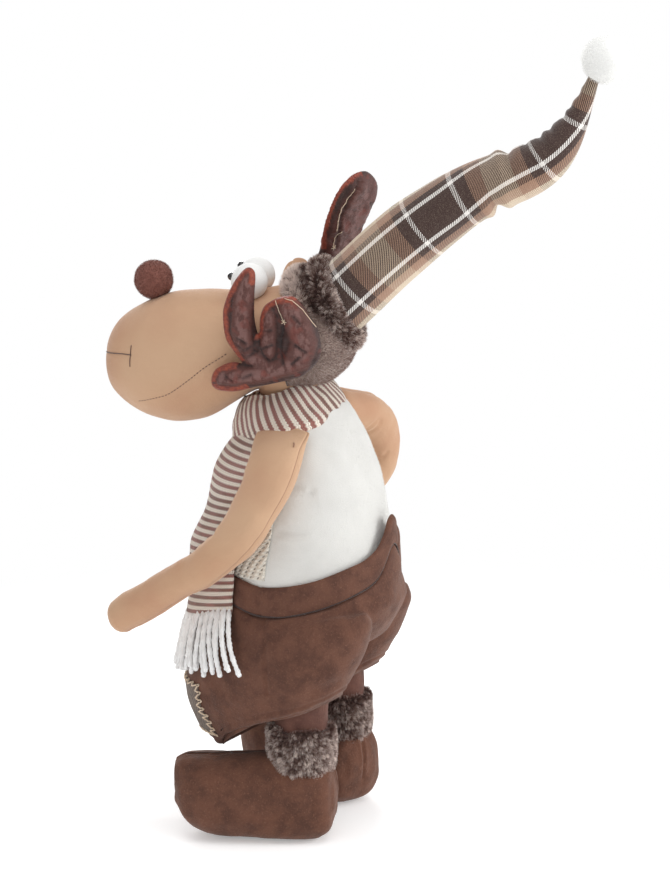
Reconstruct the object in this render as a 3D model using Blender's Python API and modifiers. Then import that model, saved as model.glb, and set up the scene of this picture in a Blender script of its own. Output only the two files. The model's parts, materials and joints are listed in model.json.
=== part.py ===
"""A standing plush deer with a stocking hat, a knitted scarf and felt trousers.

Metres, +Z up. The deer faces -Y and its left side is +X. The origin is on the floor, in the
middle of the whole toy's bounding box. Every stuffed piece is a lofted skin, and a piece that
moves hangs from an empty on its joint.
"""

import math

import bmesh
import bpy
import numpy as np
from mathutils import Matrix, Vector

# Clearances between cloth pieces, and in the joints
GAP = 0.0003
WELD = 0.00001
RUN = 0.0004
OVERRUN = 0.010

# Body
TORSO_BOTTOM = 0.128
TORSO_HEIGHT = 0.207
TORSO_TOP = TORSO_BOTTOM + TORSO_HEIGHT
TORSO_HALF_WIDTH = 0.0665
TORSO_HALF_DEPTH = 0.0735
TORSO_AHEAD = 0.013
PANEL_THICK = 0.0013
PANEL_CLEARANCE = 0.0035
PANEL_DROP = 0.045
PANEL_HEAD = TORSO_TOP - PANEL_DROP

# Trousers
FELT = 0.0028
SEAM_HEIGHT = 0.176
BAND_HEIGHT = 0.0215
BAND_BACK_RISE = 0.024
BAND_FRONT_RISE = 0.009
BAND_PEAK = 0.024
PANEL_FOOT = SEAM_HEIGHT + BAND_HEIGHT + BAND_FRONT_RISE + PANEL_CLEARANCE
KNEE_PATCH_WIDTH = 0.046
KNEE_PATCH_HEIGHT = 0.040
PATCH_THICK = 0.0012

# Legs and boots
LEG_X = 0.043
LEG_Y = 0.0015
LEG_STEP = 0.0045
LEG_RADIUS = 0.0205
LEG_SINK = 0.018
LEG_TOP = TORSO_BOTTOM + LEG_SINK
BOOT_LENGTH = 0.122
BOOT_HALF_WIDTH = 0.031
BOOT_HEIGHT = 0.066
HEEL_BEHIND = 0.026
TOE_OUT = math.radians(20)
SOLE_THICK = 0.002
BOOT_WALL = 0.003
BALLAST_TOP = 0.022
CUFF_RADIUS = 0.0268
CUFF_HEIGHT = 0.038

# Neck, head and face, in the head's own frame: origin on the floor below the neck
NECK_Y = -0.014
NECK_RADIUS = 0.016
HEAD_YAW = math.radians(15)
HEAD_TURN = math.radians(20)
MUZZLE_REACH = 0.1465
HEAD_BEHIND = 0.041
HEAD_HALF_WIDTH = 0.047
HEAD_HALF_HEIGHT = 0.0495
HEAD_RISE = 0.029
HEAD_MIDDLE = TORSO_TOP + HEAD_RISE
NECK_SHORTFALL = 0.009
NECK_TOP = HEAD_MIDDLE - NECK_SHORTFALL
HOOD_THICK = 0.0022
HOOD_FRONT = -0.006
NOSE_RADIUS = 0.015
EYE_RADIUS = 0.014
PUPIL_RADIUS = 0.0031
EAR_LENGTH = 0.034
EAR_HALF_WIDTH = 0.011
EAR_THICK = 0.007
ANTLER_SPAN = 0.085
ANTLER_THICK = 0.011
ANTLER_LEFT_OUT = 0.0538
ANTLER_LEFT_AHEAD = 0.010
ANTLER_LEFT_RISE = 0.015
ANTLER_RIGHT_OUT = 0.066
ANTLER_RIGHT_BEHIND = 0.034
ANTLER_RIGHT_RISE = 0.073

# Hat
BRIM_RADIUS = 0.0375
BRIM_WIDTH = 0.034
BRIM_TILT = math.radians(25)
HAT_BASE_RADIUS = 0.026
HAT_BASE_Y = 0.028
HAT_BASE_RISE = 0.038
HAT_BASE_Z = HEAD_MIDDLE + HAT_BASE_RISE
HAT_LEAN = math.radians(44)
HAT_SWAY = math.radians(13)
HAT_LENGTH = 0.2585
HAT_BEND_SHARE = 0.55
POMPOM_RADIUS = 0.0176

# Scarf
WRAP_TILT = math.radians(15)
WRAP_Y = -0.023
WRAP_DROP = 0.0115
WRAP_Z = TORSO_TOP - WRAP_DROP
WRAP_HEIGHT = 0.030
WRAP_TOP_RADIUS = 0.0325
WRAP_FOOT_WIDTH = 0.0435
WRAP_FOOT_DEPTH = 0.0460
WRAP_HEAD_CLEAR = 0.0015
TAIL_DROP = 0.042
TAIL_LENGTH = 0.133
TAIL_TOP = TORSO_TOP - TAIL_DROP
TAIL_FOOT = TAIL_TOP - TAIL_LENGTH
TAIL_THICK = 0.0042
TAIL_ROOM = 0.015
TAIL_SKEW = 0.016
TAIL_HINGE_Y = -0.0655
FRINGE_LENGTH = 0.043
FRINGE_THICK = 0.0045

# Arms
ARM_SPLAY = math.radians(19)
ARM_PLANE_OUT = 0.0594
ARM_PLANE_DROP = 0.077
ARM_PLANE_Z = TORSO_TOP - ARM_PLANE_DROP
ARM_HALF_WIDTH = 0.0192
ARM_HALF_THICK = 0.014
ELBOW_RADIUS = 0.0142
LEFT_SHOULDER_Y = 0.0015
LEFT_SHOULDER_UP = 0.0350
LEFT_UPPER_ARM_LENGTH = 0.0757
LEFT_UPPER_LEAN = math.radians(23.5)
LEFT_FOREARM_LENGTH = 0.109
LEFT_FOREARM_DROP = math.radians(32)
RIGHT_SHOULDER_OUT = 0.0485
RIGHT_SHOULDER_AHEAD = 0.006
RIGHT_SHOULDER_DROP = 0.024
RIGHT_UPPER_ARM_LENGTH = 0.0670
RIGHT_FOREARM_LENGTH = 0.0640
RIGHT_BALL_RADIUS = 0.0165

SIDES = 18
DOME_STEPS = 4

TAN = (0.600, 0.385, 0.250, 1)
BROWN = (0.120, 0.052, 0.036, 1)
FLEECE = (0.780, 0.780, 0.740, 1)
FUR = (0.170, 0.120, 0.100, 1)
PLAID = (0.190, 0.120, 0.090, 1)
KNIT = (0.450, 0.330, 0.270, 1)
VELVET = (0.090, 0.030, 0.025, 1)
YARN = (0.850, 0.840, 0.800, 1)


def emptied_scene():
    """Remove every object, and return the collections for the parts and for the cutters."""
    for obj in list(bpy.data.objects):
        bpy.data.objects.remove(obj, do_unlink=True)
    scene = bpy.context.scene.collection
    homes = []
    for name in ("plush_deer", "cutters"):
        home = bpy.data.collections.new(name)
        scene.children.link(home)
        homes.append(home)
    return homes


PARTS, CUTTERS = emptied_scene()


def paint(name, colour, roughness=0.9, metallic=0.0):
    """A plain Principled material for one piece."""
    material = bpy.data.materials.new(name)
    material.use_nodes = True
    shader = material.node_tree.nodes["Principled BSDF"]
    shader.inputs["Base Color"].default_value = colour
    shader.inputs["Roughness"].default_value = roughness
    shader.inputs["Metallic"].default_value = metallic
    material.diffuse_color = colour
    return material


def pivot(name, at, parent=None, turn=0.0):
    """An empty on a joint's axis; at is in the parent's frame."""
    empty = bpy.data.objects.new(name, None)
    PARTS.objects.link(empty)
    empty.parent = parent
    empty.location = at
    empty.rotation_euler[2] = turn
    empty.empty_display_size = LEG_RADIUS
    return empty


def settle(obj, colour, parent, shift=(0, 0, 0), helper=False):
    """Link a new object, give it its material, its parent and its place."""
    home = CUTTERS if helper else PARTS
    home.objects.link(obj)
    obj.parent = parent
    obj.location = Vector(obj.location) + Vector(shift)
    if helper:
        obj.hide_render = True
        obj.display_type = "WIRE"
    else:
        obj.data.materials.append(paint(obj.name, colour))
    return obj


def skinned(name, rings):
    """A closed mesh over rings of equally many points, capped at both ends."""
    rings = np.array(rings, float)
    count, sides = rings.shape[:2]
    points = rings.reshape(-1, 3).tolist()
    faces = []
    for k in range(count - 1):
        for i in range(sides):
            j = (i + 1) % sides
            low, high = k * sides, (k + 1) * sides
            faces.append((low + i, low + j, high + j, high + i))
    faces.append(tuple(range(sides - 1, -1, -1)))
    faces.append(tuple(range((count - 1) * sides, count * sides)))
    mesh = bpy.data.meshes.new(name)
    mesh.from_pydata(points, [], faces)
    mesh.validate()
    shape = bmesh.new()
    shape.from_mesh(mesh)
    inside_out = shape.calc_volume(signed=True) < 0
    shape.free()
    if inside_out:
        mesh.flip_normals()
    mesh.shade_smooth()
    mesh.set_sharp_from_angle(angle=math.radians(50))
    return bpy.data.objects.new(name, mesh)


def ring(centre, across, up, sides=SIDES, swell=1.0, phase=0.0):
    """Points round an ellipse that has across and up as its half axes."""
    turn = (np.arange(sides) + phase) * 2 * math.pi / sides
    offset = np.outer(np.cos(turn), across) + np.outer(np.sin(turn), up)
    return np.asarray(centre, float) + swell * offset


def cage_swell(sides):
    """How much wider a cage is than the surface that its subdivision gives."""
    return 3 / (2 + math.cos(2 * math.pi / sides))


def softened(obj, levels=1):
    """Subdivision Surface, alike in the viewport and the render."""
    soft = obj.modifiers.new("soft", "SUBSURF")
    soft.levels = levels
    soft.render_levels = levels
    return obj


def eased(rows, steps):
    """Rows of numbers with smooth rows set in between, by Catmull-Rom."""
    rows = np.array(rows, float)
    padded = np.vstack([2 * rows[0] - rows[1], rows, 2 * rows[-1] - rows[-2]])
    out = []
    for a, b, c, d in zip(padded, padded[1:], padded[2:], padded[3:]):
        for t in np.arange(steps) / steps:
            curve = 2 * b + (c - a) * t + (2 * a - 5 * b + 4 * c - d) * t**2
            out.append((curve + (3 * b - a - 3 * c + d) * t**3) / 2)
    out.append(rows[-1])
    return np.array(out)


def unit(vector):
    return np.asarray(vector, float) / np.linalg.norm(vector)


def limb_rings(path, widths, normal, thicks=None, domes=(True, True), sides=SIDES):
    """Rings along a path that lies in a plane with this normal, with round ends."""
    path = np.array(path, float)
    widths = np.array(widths, float)
    thicks = widths if thicks is None else np.array(thicks, float)
    normal = unit(normal)
    heading = np.gradient(path, axis=0)
    rings = []

    def add(centre, direction, width, thick):
        direction = unit(direction)
        side = np.cross(normal, direction)
        rings.append(ring(centre, width * side, thick * normal, sides))

    dome = np.arange(1, DOME_STEPS) * math.pi / 2 / DOME_STEPS
    if domes[0]:
        for angle in dome[::-1]:
            back = path[0] - unit(heading[0]) * widths[0] * math.sin(angle)
            add(back, heading[0], widths[0] * math.cos(angle), thicks[0] * math.cos(angle))
    for k, centre in enumerate(path):
        add(centre, heading[k], widths[k], thicks[k])
    if domes[1]:
        for angle in dome:
            ahead = path[-1] + unit(heading[-1]) * widths[-1] * math.sin(angle)
            add(ahead, heading[-1], widths[-1] * math.cos(angle), thicks[-1] * math.cos(angle))
    return rings


def revolved(obj, steps):
    """Sweep a profile round its own Z axis."""
    spin = obj.modifiers.new("spin", "SCREW")
    spin.steps = steps
    spin.render_steps = steps
    spin.use_merge_vertices = True
    spin.merge_threshold = WELD
    spin.use_smooth_shade = True
    return obj


def grown(obj, by):
    """A cutter: the object's own shape, grown outwards by a distance."""
    copy = bpy.data.objects.new(obj.name + "_grown", obj.data.copy())
    CUTTERS.objects.link(copy)
    copy.parent = obj.parent
    copy.location = obj.location
    copy.rotation_euler = obj.rotation_euler
    for old in obj.modifiers:
        if old.type == "SUBSURF":
            softened(copy, old.levels)
        if old.type == "SCREW":
            revolved(copy, old.steps)
    swell = copy.modifiers.new("swell", "DISPLACE")
    swell.strength = by
    swell.mid_level = 0
    copy.hide_render = True
    copy.display_type = "WIRE"
    return copy


def made_part(cutter, name, colour):
    """Turn a grown cutter into a visible piece with a material of its own."""
    cutter.name = name
    CUTTERS.objects.unlink(cutter)
    PARTS.objects.link(cutter)
    cutter.hide_render = False
    cutter.display_type = "TEXTURED"
    cutter.data.materials.clear()
    cutter.data.materials.append(paint(name, colour))
    return cutter


def boolean(obj, other, operation="DIFFERENCE"):
    """Cut, join or trim a piece with another object."""
    step = obj.modifiers.new(operation.lower(), "BOOLEAN")
    step.operation = operation
    step.object = other
    step.solver = "EXACT"
    return obj


def ball_mesh(name, radius, segments=24):
    """A sphere's mesh from the primitive."""
    shape = bmesh.new()
    bmesh.ops.create_uvsphere(
        shape, u_segments=segments, v_segments=segments // 2 + 2, radius=radius
    )
    mesh = bpy.data.meshes.new(name)
    shape.to_mesh(mesh)
    shape.free()
    mesh.shade_smooth()
    return mesh


def ball(name, colour, radius, at, parent, segments=16, helper=False):
    """A sphere at a place in its parent's frame."""
    obj = bpy.data.objects.new(name, ball_mesh(name, radius, segments))
    return settle(obj, colour, parent, at, helper)


def socket(name, radius, at, parent):
    """A cutter for the cup round a ball, whose flat facets all stay outside it."""
    segments = 24
    true = (radius + RUN) / math.cos(math.pi / segments) ** 2
    return ball(name, TAN, true, at, parent, segments, helper=True)


def block(name, size, at, parent, turn=None):
    """A box cutter, with its centre at a place in its parent's frame."""
    shape = bmesh.new()
    bmesh.ops.create_cube(shape, size=1)
    bmesh.ops.scale(shape, vec=size, verts=shape.verts)
    mesh = bpy.data.meshes.new(name)
    shape.to_mesh(mesh)
    shape.free()
    obj = settle(bpy.data.objects.new(name, mesh), TAN, parent, at, helper=True)
    if turn is not None:
        obj.rotation_euler = turn
    return obj


def turned(name, profile, colour, parent, at, tilt=(0, 0, 0), steps=28, helper=False):
    """A closed profile of (radius, height) pairs, swept round its own Z axis."""
    mesh = bpy.data.meshes.new(name)
    count = len(profile)
    edges = [(i, (i + 1) % count) for i in range(count)]
    mesh.from_pydata([(r, 0, z) for r, z in profile], edges, [])
    obj = settle(bpy.data.objects.new(name, mesh), colour, parent, at, helper)
    obj.rotation_euler = tilt
    return revolved(obj, steps)


def round_block(radius_in, radius_out, half, soft):
    """A ring's profile with rounded outer corners, down its outer side and up its bore."""
    points = []
    for corner in (math.pi / 2, 0):
        for step in range(4):
            angle = corner - step * math.pi / 6
            sign = 1 if corner > 0 else -1
            points.append(
                (
                    radius_out - soft + soft * math.cos(angle),
                    sign * (half - soft) + soft * math.sin(angle),
                )
            )
    points.append((radius_in, -half))
    points.append((radius_in, half))
    return points


ROOT = pivot("plush_deer_root", (0, 0, 0))


# The torso: shares of its height, its lead, its half width and its half depth
TORSO_SHARES = (
    (0.00, 1.31, 0.42, 0.42),
    (0.03, 1.31, 0.72, 0.73),
    (0.09, 1.23, 0.90, 0.91),
    (0.18, 1.08, 0.98, 0.98),
    (0.29, 1.00, 1.00, 1.00),
    (0.42, 0.92, 0.965, 0.935),
    (0.536, 0.69, 0.902, 0.843),
    (0.700, 0.54, 0.812, 0.735),
    (0.783, 0.485, 0.737, 0.646),
    (0.860, 0.46, 0.632, 0.544),
    (0.93, 0.54, 0.515, 0.430),
    (0.975, 0.65, 0.40, 0.340),
    (1.0, 0.69, 0.28, 0.24),
)


def body_ellipse(height):
    """The torso's middle in Y and its half width and half depth at a height."""
    table = np.array(TORSO_SHARES)
    share = (height - TORSO_BOTTOM) / TORSO_HEIGHT
    ahead, width, depth = (np.interp(share, table[:, 0], table[:, k]) for k in (1, 2, 3))
    return -ahead * TORSO_AHEAD, width * TORSO_HALF_WIDTH, depth * TORSO_HALF_DEPTH


def make_torso():
    sides = 10
    swell = cage_swell(sides)
    rings = []
    for up, ahead, width, depth in TORSO_SHARES:
        centre = (0, -ahead * TORSO_AHEAD, TORSO_BOTTOM + up * TORSO_HEIGHT)
        across = (width * TORSO_HALF_WIDTH, 0, 0)
        along = (0, depth * TORSO_HALF_DEPTH, 0)
        rings.append(ring(centre, across, along, sides, swell))
    torso = softened(skinned("torso", rings))
    return settle(torso, FLEECE, ROOT)


TORSO = make_torso()


def make_panel():
    """The knitted front of the shirt, from side seam to side seam."""
    panel = made_part(grown(TORSO, GAP + PANEL_THICK), "knit_front", FLEECE)
    boolean(panel, grown(TORSO, GAP))
    depth = TORSO_HALF_DEPTH + OVERRUN
    size = (3 * TORSO_HALF_WIDTH, depth, PANEL_HEAD - PANEL_FOOT)
    middle = (0, -TORSO_AHEAD - depth / 2, (PANEL_HEAD + PANEL_FOOT) / 2)
    boolean(panel, block("panel_frame", size, middle, ROOT), "INTERSECT")
    return panel


PANEL = make_panel()


# The trousers' legs: their middle (ahead of the waist's middle and height), half length along
# the slope, half width, and slope, as shares of the torso's half depth and height
LEG_TUBE_SHARES = (
    (0.015, 0.523, 0.800, 0.79, 0.482),
    (0.060, 0.582, 0.895, 0.84, 0.401),
    (0.086, 0.669, 0.985, 0.90, 0.314),
    (0.064, 0.780, 1.035, 0.92, 0.251),
    (0.010, 0.880, 1.020, 0.86, 0.200),
    (-0.030, 0.950, 0.930, 0.70, 0.187),
)
HEM_SHARES = (
    (0.015, 0.523, 0.800, 0.79, 0.482),
    (0.060, 0.582, 0.885, 0.83, 0.401),
    (0.070, 0.635, 0.810, 0.74, 0.350),
)
SACK_SHARES = (
    (0.02, 0.705, 0.55, 0.55, 0.30),
    (0.03, 0.750, 0.90, 0.93, 0.28),
    (0.045, 0.805, 1.02, 1.12, 0.25),
    (0.015, 0.870, 1.065, 1.185, 0.215),
    (-0.030, 0.940, 1.070, 1.150, 0.187),
)


def seam_height(turn):
    """The waist seam's height at an angle round the body; the back rises to a peak."""
    back = max(0.0, math.sin(turn))
    front = max(0.0, -math.sin(turn))
    peak = math.exp(-(((turn - math.pi / 2) / math.radians(13)) ** 2))
    rise = BAND_BACK_RISE * back**2 + BAND_FRONT_RISE * math.tanh(3 * front)
    return SEAM_HEIGHT + rise + BAND_PEAK * peak


def waist_ring(heights, grow, sides=28):
    """A level-ish ring round the waist whose height varies with the angle."""
    points = []
    for k in range(sides):
        turn = (k + 0.5) * 2 * math.pi / sides
        z = heights(turn)
        y, width, depth = body_ellipse(SEAM_HEIGHT)
        x = (width + grow) * math.cos(turn)
        points.append((x, y + (depth + grow) * math.sin(turn), z))
    return points


def slanted_rings(rows, side, shrink=0.0, steps=2, sides=20):
    """Rings of a trouser leg or of the sack above, each in its own slanted plane."""
    rings = []
    for ahead, up, long_half, wide_half, slope in eased(rows, steps):
        y = -TORSO_AHEAD - ahead * TORSO_HALF_DEPTH + side * LEG_STEP * max(0, 1.5 - up)
        z = up * SEAM_HEIGHT
        long_half = long_half * TORSO_HALF_DEPTH - shrink
        base = LEG_X if side else TORSO_HALF_WIDTH
        wide_half = wide_half * base - shrink
        along = (0, long_half * math.cos(slope), long_half * math.sin(slope))
        middle = (side * LEG_X, y, z)
        rings.append(ring(middle, (wide_half, 0, 0), along, sides, phase=0.5))
    return rings


def make_trousers():
    """The felt sack with its two legs, a hollow up each open hem, and the body's seat."""
    sack = slanted_rings(SACK_SHARES, 0, sides=28)
    sack.append(waist_ring(seam_height, FELT + GAP))
    sack.append(waist_ring(seam_height, -2 * FELT))
    trousers = settle(skinned("trousers", sack), BROWN, ROOT)
    sack_shape = grown(trousers, 0)
    tubes = []
    for side, name in ((1, "left"), (-1, "right")):
        tube = skinned("tube_" + name, slanted_rings(LEG_TUBE_SHARES, side))
        tubes.append(settle(tube, BROWN, ROOT, helper=True))
        boolean(trousers, tubes[-1], "UNION")
    rows = [list(LEG_TUBE_SHARES[0])] + [list(row) for row in HEM_SHARES]
    rows[0][1] -= OVERRUN / SEAM_HEIGHT
    for side, name in ((1, "left"), (-1, "right")):
        rings = slanted_rings(rows, side, FELT, steps=1)
        hollow = settle(skinned("hem_" + name, rings), BROWN, ROOT, helper=True)
        boolean(trousers, hollow)
    boolean(trousers, grown(TORSO, GAP))
    return trousers, sack_shape, tubes


TROUSERS, SACK, TUBES = make_trousers()


def make_waistband():
    """The felt band above the waist seam, with its peak at the back."""
    half = BAND_HEIGHT / 2
    levels = ((4 * GAP, -2 * FELT), (4 * GAP, FELT + GAP), (half, FELT + GAP))
    levels += ((BAND_HEIGHT, FELT), (BAND_HEIGHT, -3 * FELT))
    rings = []
    for lift, grow in levels:
        rings.append(waist_ring(lambda turn: seam_height(turn) + lift, grow))
    band = settle(skinned("waistband", rings), BROWN, ROOT)
    boolean(band, grown(TORSO, GAP))
    return band


BAND = make_waistband()


def make_knee_patch():
    """A tweed patch sewn on the front of the left knee."""
    patch = made_part(grown(TUBES[0], GAP + PATCH_THICK), "knee_patch", FUR)
    boolean(patch, grown(TUBES[0], GAP))
    boolean(patch, grown(SACK, GAP))
    middle = (LEG_X, -TORSO_HALF_DEPTH - TORSO_AHEAD, 0.50 * SEAM_HEIGHT)
    size = (KNEE_PATCH_WIDTH, 0.6 * TORSO_HALF_DEPTH, KNEE_PATCH_HEIGHT)
    boolean(patch, block("patch_frame", size, middle, ROOT), "INTERSECT")
    return patch


PATCH = make_knee_patch()


# A boot along its length, from the heel: place, half width, foot and top
BOOT_SHARES = (
    (0.000, 0.46, 0.24, 0.76),
    (0.050, 0.77, 0.07, 0.92),
    (0.200, 0.92, 0.00, 1.00),
    (0.450, 0.95, 0.00, 0.98),
    (0.720, 1.00, 0.02, 0.95),
    (0.860, 0.90, 0.07, 0.93),
    (0.950, 0.70, 0.17, 0.86),
    (1.000, 0.40, 0.34, 0.72),
)


def boot_rings(inset, sides, soft=True):
    """Rings across the boot, with a flat foot, each shrunk by an inset."""
    rings = []
    swell = cage_swell(sides) if soft else 1
    for along, wide, foot, top in BOOT_SHARES:
        y = HEEL_BEHIND - inset - along * (BOOT_LENGTH - 2 * inset)
        foot_z = foot * BOOT_HEIGHT + inset
        top_z = top * BOOT_HEIGHT - inset
        half = wide * BOOT_HALF_WIDTH - inset
        middle, tall = (foot_z + top_z) / 2, (top_z - foot_z) / 2
        points = []
        for k in range(sides):
            turn = (k + 0.5) * 2 * math.pi / sides
            c, s = math.cos(turn), math.sin(turn)
            square = 0.62 if s < 0 else 0.86
            x = half * swell * math.copysign(abs(c) ** square, c)
            z = middle + tall * swell * math.copysign(abs(s) ** square, s)
            points.append((x, y, z))
        rings.append(points)
    return rings


def make_boot(side, name):
    """Boot, sole, pellet bag, leg and fur cuff of one side."""
    at = (side * LEG_X, LEG_Y + side * LEG_STEP, 0)
    foot = pivot("foot_" + name, at, ROOT, side * TOE_OUT)
    sides = 10
    boot = settle(softened(skinned("boot_" + name, boot_rings(0, sides))), BROWN, foot)
    whole = 2 * BOOT_LENGTH
    size = (whole, whole, whole)
    sole = made_part(grown(boot, 0), "sole_" + name, BROWN)
    at = (0, 0, SOLE_THICK + GAP - whole / 2)
    boolean(boot, block("floor_" + name, size, at, foot))
    hollow = skinned("hollow_" + name, boot_rings(BOOT_WALL, 14, soft=False))
    settle(hollow, BROWN, foot, helper=True)
    at = (0, 0, BALLAST_TOP + whole / 2)
    boolean(hollow, block("lid_" + name, size, at, foot))
    boolean(boot, hollow)
    slab = (whole, 0.84 * BOOT_LENGTH, SOLE_THICK)
    at = (0, HEEL_BEHIND - 0.06 * BOOT_LENGTH - slab[1] / 2, SOLE_THICK / 2)
    boolean(sole, block("slab_" + name, slab, at, foot), "INTERSECT")
    bag = skinned("pellet_bag_" + name, boot_rings(BOOT_WALL + 2 * GAP, 14, soft=False))
    settle(bag, TAN, foot)
    at = (0, 0, BALLAST_TOP - 2 * GAP + whole / 2)
    boolean(bag, block("bag_lid_" + name, size, at, foot))
    leg = make_leg(side, name)
    boolean(boot, grown(leg, GAP))
    half = CUFF_HEIGHT / 2
    soft = 0.6 * (CUFF_RADIUS - LEG_RADIUS)
    profile = round_block(LEG_RADIUS + 2 * GAP, CUFF_RADIUS, half, soft)
    at = (0, 0, 0.78 * BOOT_HEIGHT + half)
    cuff = turned("boot_cuff_" + name, profile, FUR, foot, at, steps=22)
    boolean(cuff, grown(boot, GAP))
    return boot, leg


def make_leg(side, name):
    """A brown cloth leg from inside the boot up to the body's underside."""
    y = LEG_Y + side * LEG_STEP
    path = [(side * LEG_X, y, z) for z in np.linspace(BALLAST_TOP, LEG_TOP, 4)]
    widths = [LEG_RADIUS] * 4
    rings = limb_rings(path, widths, (0, 1, 0), domes=(False, False))
    leg = settle(skinned("leg_" + name, rings), BROWN, ROOT)
    boolean(leg, grown(TORSO, GAP))
    return leg


BOOTS = [make_boot(1, "left"), make_boot(-1, "right")]
for _boot, _leg in BOOTS:
    boolean(TROUSERS, grown(_leg, GAP))


# The head hangs from an empty on the neck's axis, turned a little to the deer's left
HEAD_PIVOT = pivot("head_pivot", (0, NECK_Y, 0), ROOT, HEAD_YAW)

# Head and muzzle: place along the head, middle height, half width and half height
HEAD_SHARES = (
    (-1.000, -0.20, 0.20, 0.17),
    (-0.985, -0.19, 0.42, 0.38),
    (-0.940, -0.18, 0.62, 0.58),
    (-0.865, -0.18, 0.80, 0.76),
    (-0.760, -0.16, 0.94, 0.91),
    (-0.625, -0.13, 1.00, 1.00),
    (-0.480, -0.07, 0.98, 0.97),
    (-0.345, 0.04, 0.93, 0.86),
    (-0.225, 0.16, 0.90, 0.765),
    (-0.110, 0.22, 0.92, 0.775),
    (0.000, 0.25, 0.94, 0.765),
    (0.366, 0.26, 0.90, 0.700),
    (0.634, 0.27, 0.78, 0.590),
    (0.850, 0.27, 0.56, 0.420),
    (0.960, 0.27, 0.35, 0.260),
    (1.000, 0.27, 0.18, 0.130),
)


def make_head():
    sides = 10
    swell = cage_swell(sides)
    rings = []
    for along, up, wide, tall in HEAD_SHARES:
        y = along * (MUZZLE_REACH if along < 0 else HEAD_BEHIND)
        z = HEAD_MIDDLE + up * HEAD_HALF_HEIGHT
        across = (wide * HEAD_HALF_WIDTH, 0, 0)
        upward = (0, 0, tall * HEAD_HALF_HEIGHT)
        rings.append(ring((0, y, z), across, upward, sides, swell))
    return settle(softened(skinned("head", rings)), TAN, HEAD_PIVOT)


HEAD = make_head()


def make_neck():
    """The neck's post, sewn to the body; the head turns on it."""
    foot = TORSO_TOP - 0.06 * TORSO_HEIGHT
    rise = np.linspace(foot, NECK_TOP - NECK_RADIUS, 4)
    path = [(0, NECK_Y, z) for z in rise]
    rings = limb_rings(path, [NECK_RADIUS] * 4, (0, 1, 0), domes=(False, True), sides=24)
    neck = settle(skinned("neck", rings), TAN, ROOT)
    boolean(neck, grown(TORSO, GAP))
    return neck


NECK = make_neck()
HEAD_BORE = grown(NECK, RUN)
boolean(HEAD, HEAD_BORE)

# The hat's base ball, inside the brim
HAT_AT = Vector((0, HAT_BASE_Y, HAT_BASE_Z))
HAT_PIVOT = pivot("hat_pivot", HAT_AT, HEAD_PIVOT)
HAT_SOCKET = socket("hat_socket", HAT_BASE_RADIUS, HAT_AT, HEAD_PIVOT)
boolean(HEAD, HAT_SOCKET)


def sweep_cone(name, radius, lean, spread, length, at, parent):
    """A cutter that opens like a horn, for what tilts out of a ring."""
    far = radius + length * math.tan(spread)
    profile = [(far, length), (radius, 0), (0, 0), (0, length)]
    cone = turned(name, profile, TAN, parent, at, steps=32, helper=True)
    cone.rotation_euler = (lean - math.pi / 2, 0, 0)
    return cone


HAT_SWEEP = sweep_cone(
    "hat_sweep",
    HAT_BASE_RADIUS + 2 * RUN,
    HAT_LEAN,
    HAT_SWAY,
    4 * HAT_BASE_RADIUS,
    HAT_AT,
    HEAD_PIVOT,
)


def make_hood():
    """The hat's lining, drawn over the back of the head under the brim."""
    hood = made_part(grown(HEAD, GAP + HOOD_THICK), "hood", FUR)
    boolean(hood, grown(HEAD, GAP))
    whole = 4 * HEAD_BEHIND
    at = (0, HOOD_FRONT + whole / 2, HEAD_MIDDLE)
    frame = block("hood_frame", (whole, whole, whole), at, HEAD_PIVOT)
    boolean(hood, frame, "INTERSECT")
    boolean(hood, HEAD_BORE)
    boolean(hood, HAT_SOCKET)
    boolean(hood, HAT_SWEEP)
    return hood


HOOD = make_hood()


def make_brim():
    """The fur cuff of the hat, a thick ring round the back of the head."""
    half = BRIM_WIDTH / 2
    back = Vector((0, math.cos(BRIM_TILT), math.sin(BRIM_TILT)))
    at = HAT_AT - back * (BRIM_WIDTH * 0.29)
    bore = HAT_BASE_RADIUS + 3 * RUN
    profile = round_block(bore, BRIM_RADIUS, half, BRIM_WIDTH / 4)
    tilt = (BRIM_TILT - math.pi / 2, 0, 0)
    brim = turned("hat_brim", profile, FUR, HEAD_PIVOT, at, tilt, steps=32)
    boolean(brim, grown(HEAD, 2 * GAP + HOOD_THICK))
    boolean(brim, HAT_SWEEP)
    boolean(brim, HAT_SOCKET)
    return brim


BRIM = make_brim()

# The hat's bent axis: place along it, and how it turns up towards the tip, with its radius
HAT_SHARES = (
    (0.00, 44, 1.00),
    (0.15, 44, 1.00),
    (0.30, 40, 0.98),
    (0.42, 36, 0.90),
    (0.50, 29.5, 0.84),
    (0.562, 23, 0.80),
    (0.63, 20, 0.765),
    (0.70, 32, 0.71),
    (0.76, 46, 0.62),
    (0.82, 57, 0.50),
    (0.90, 66, 0.31),
    (1.00, 71, 0.15),
)


def hat_line(samples=41):
    """The hat's middle line in the head's frame, with its radius at each point."""
    table = np.array(HAT_SHARES)
    shares = np.linspace(0, 1, samples)
    angle = np.radians(np.interp(shares, table[:, 0], table[:, 1]))
    radius = HAT_BASE_RADIUS * np.interp(shares, table[:, 0], table[:, 2])
    step = HAT_LENGTH / (samples - 1)
    points = [np.array(HAT_AT)]
    for a, b in zip(angle, angle[1:]):
        mean = (a + b) / 2
        points.append(points[-1] + step * np.array([0, math.cos(mean), math.sin(mean)]))
    return np.array(points), radius


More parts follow.
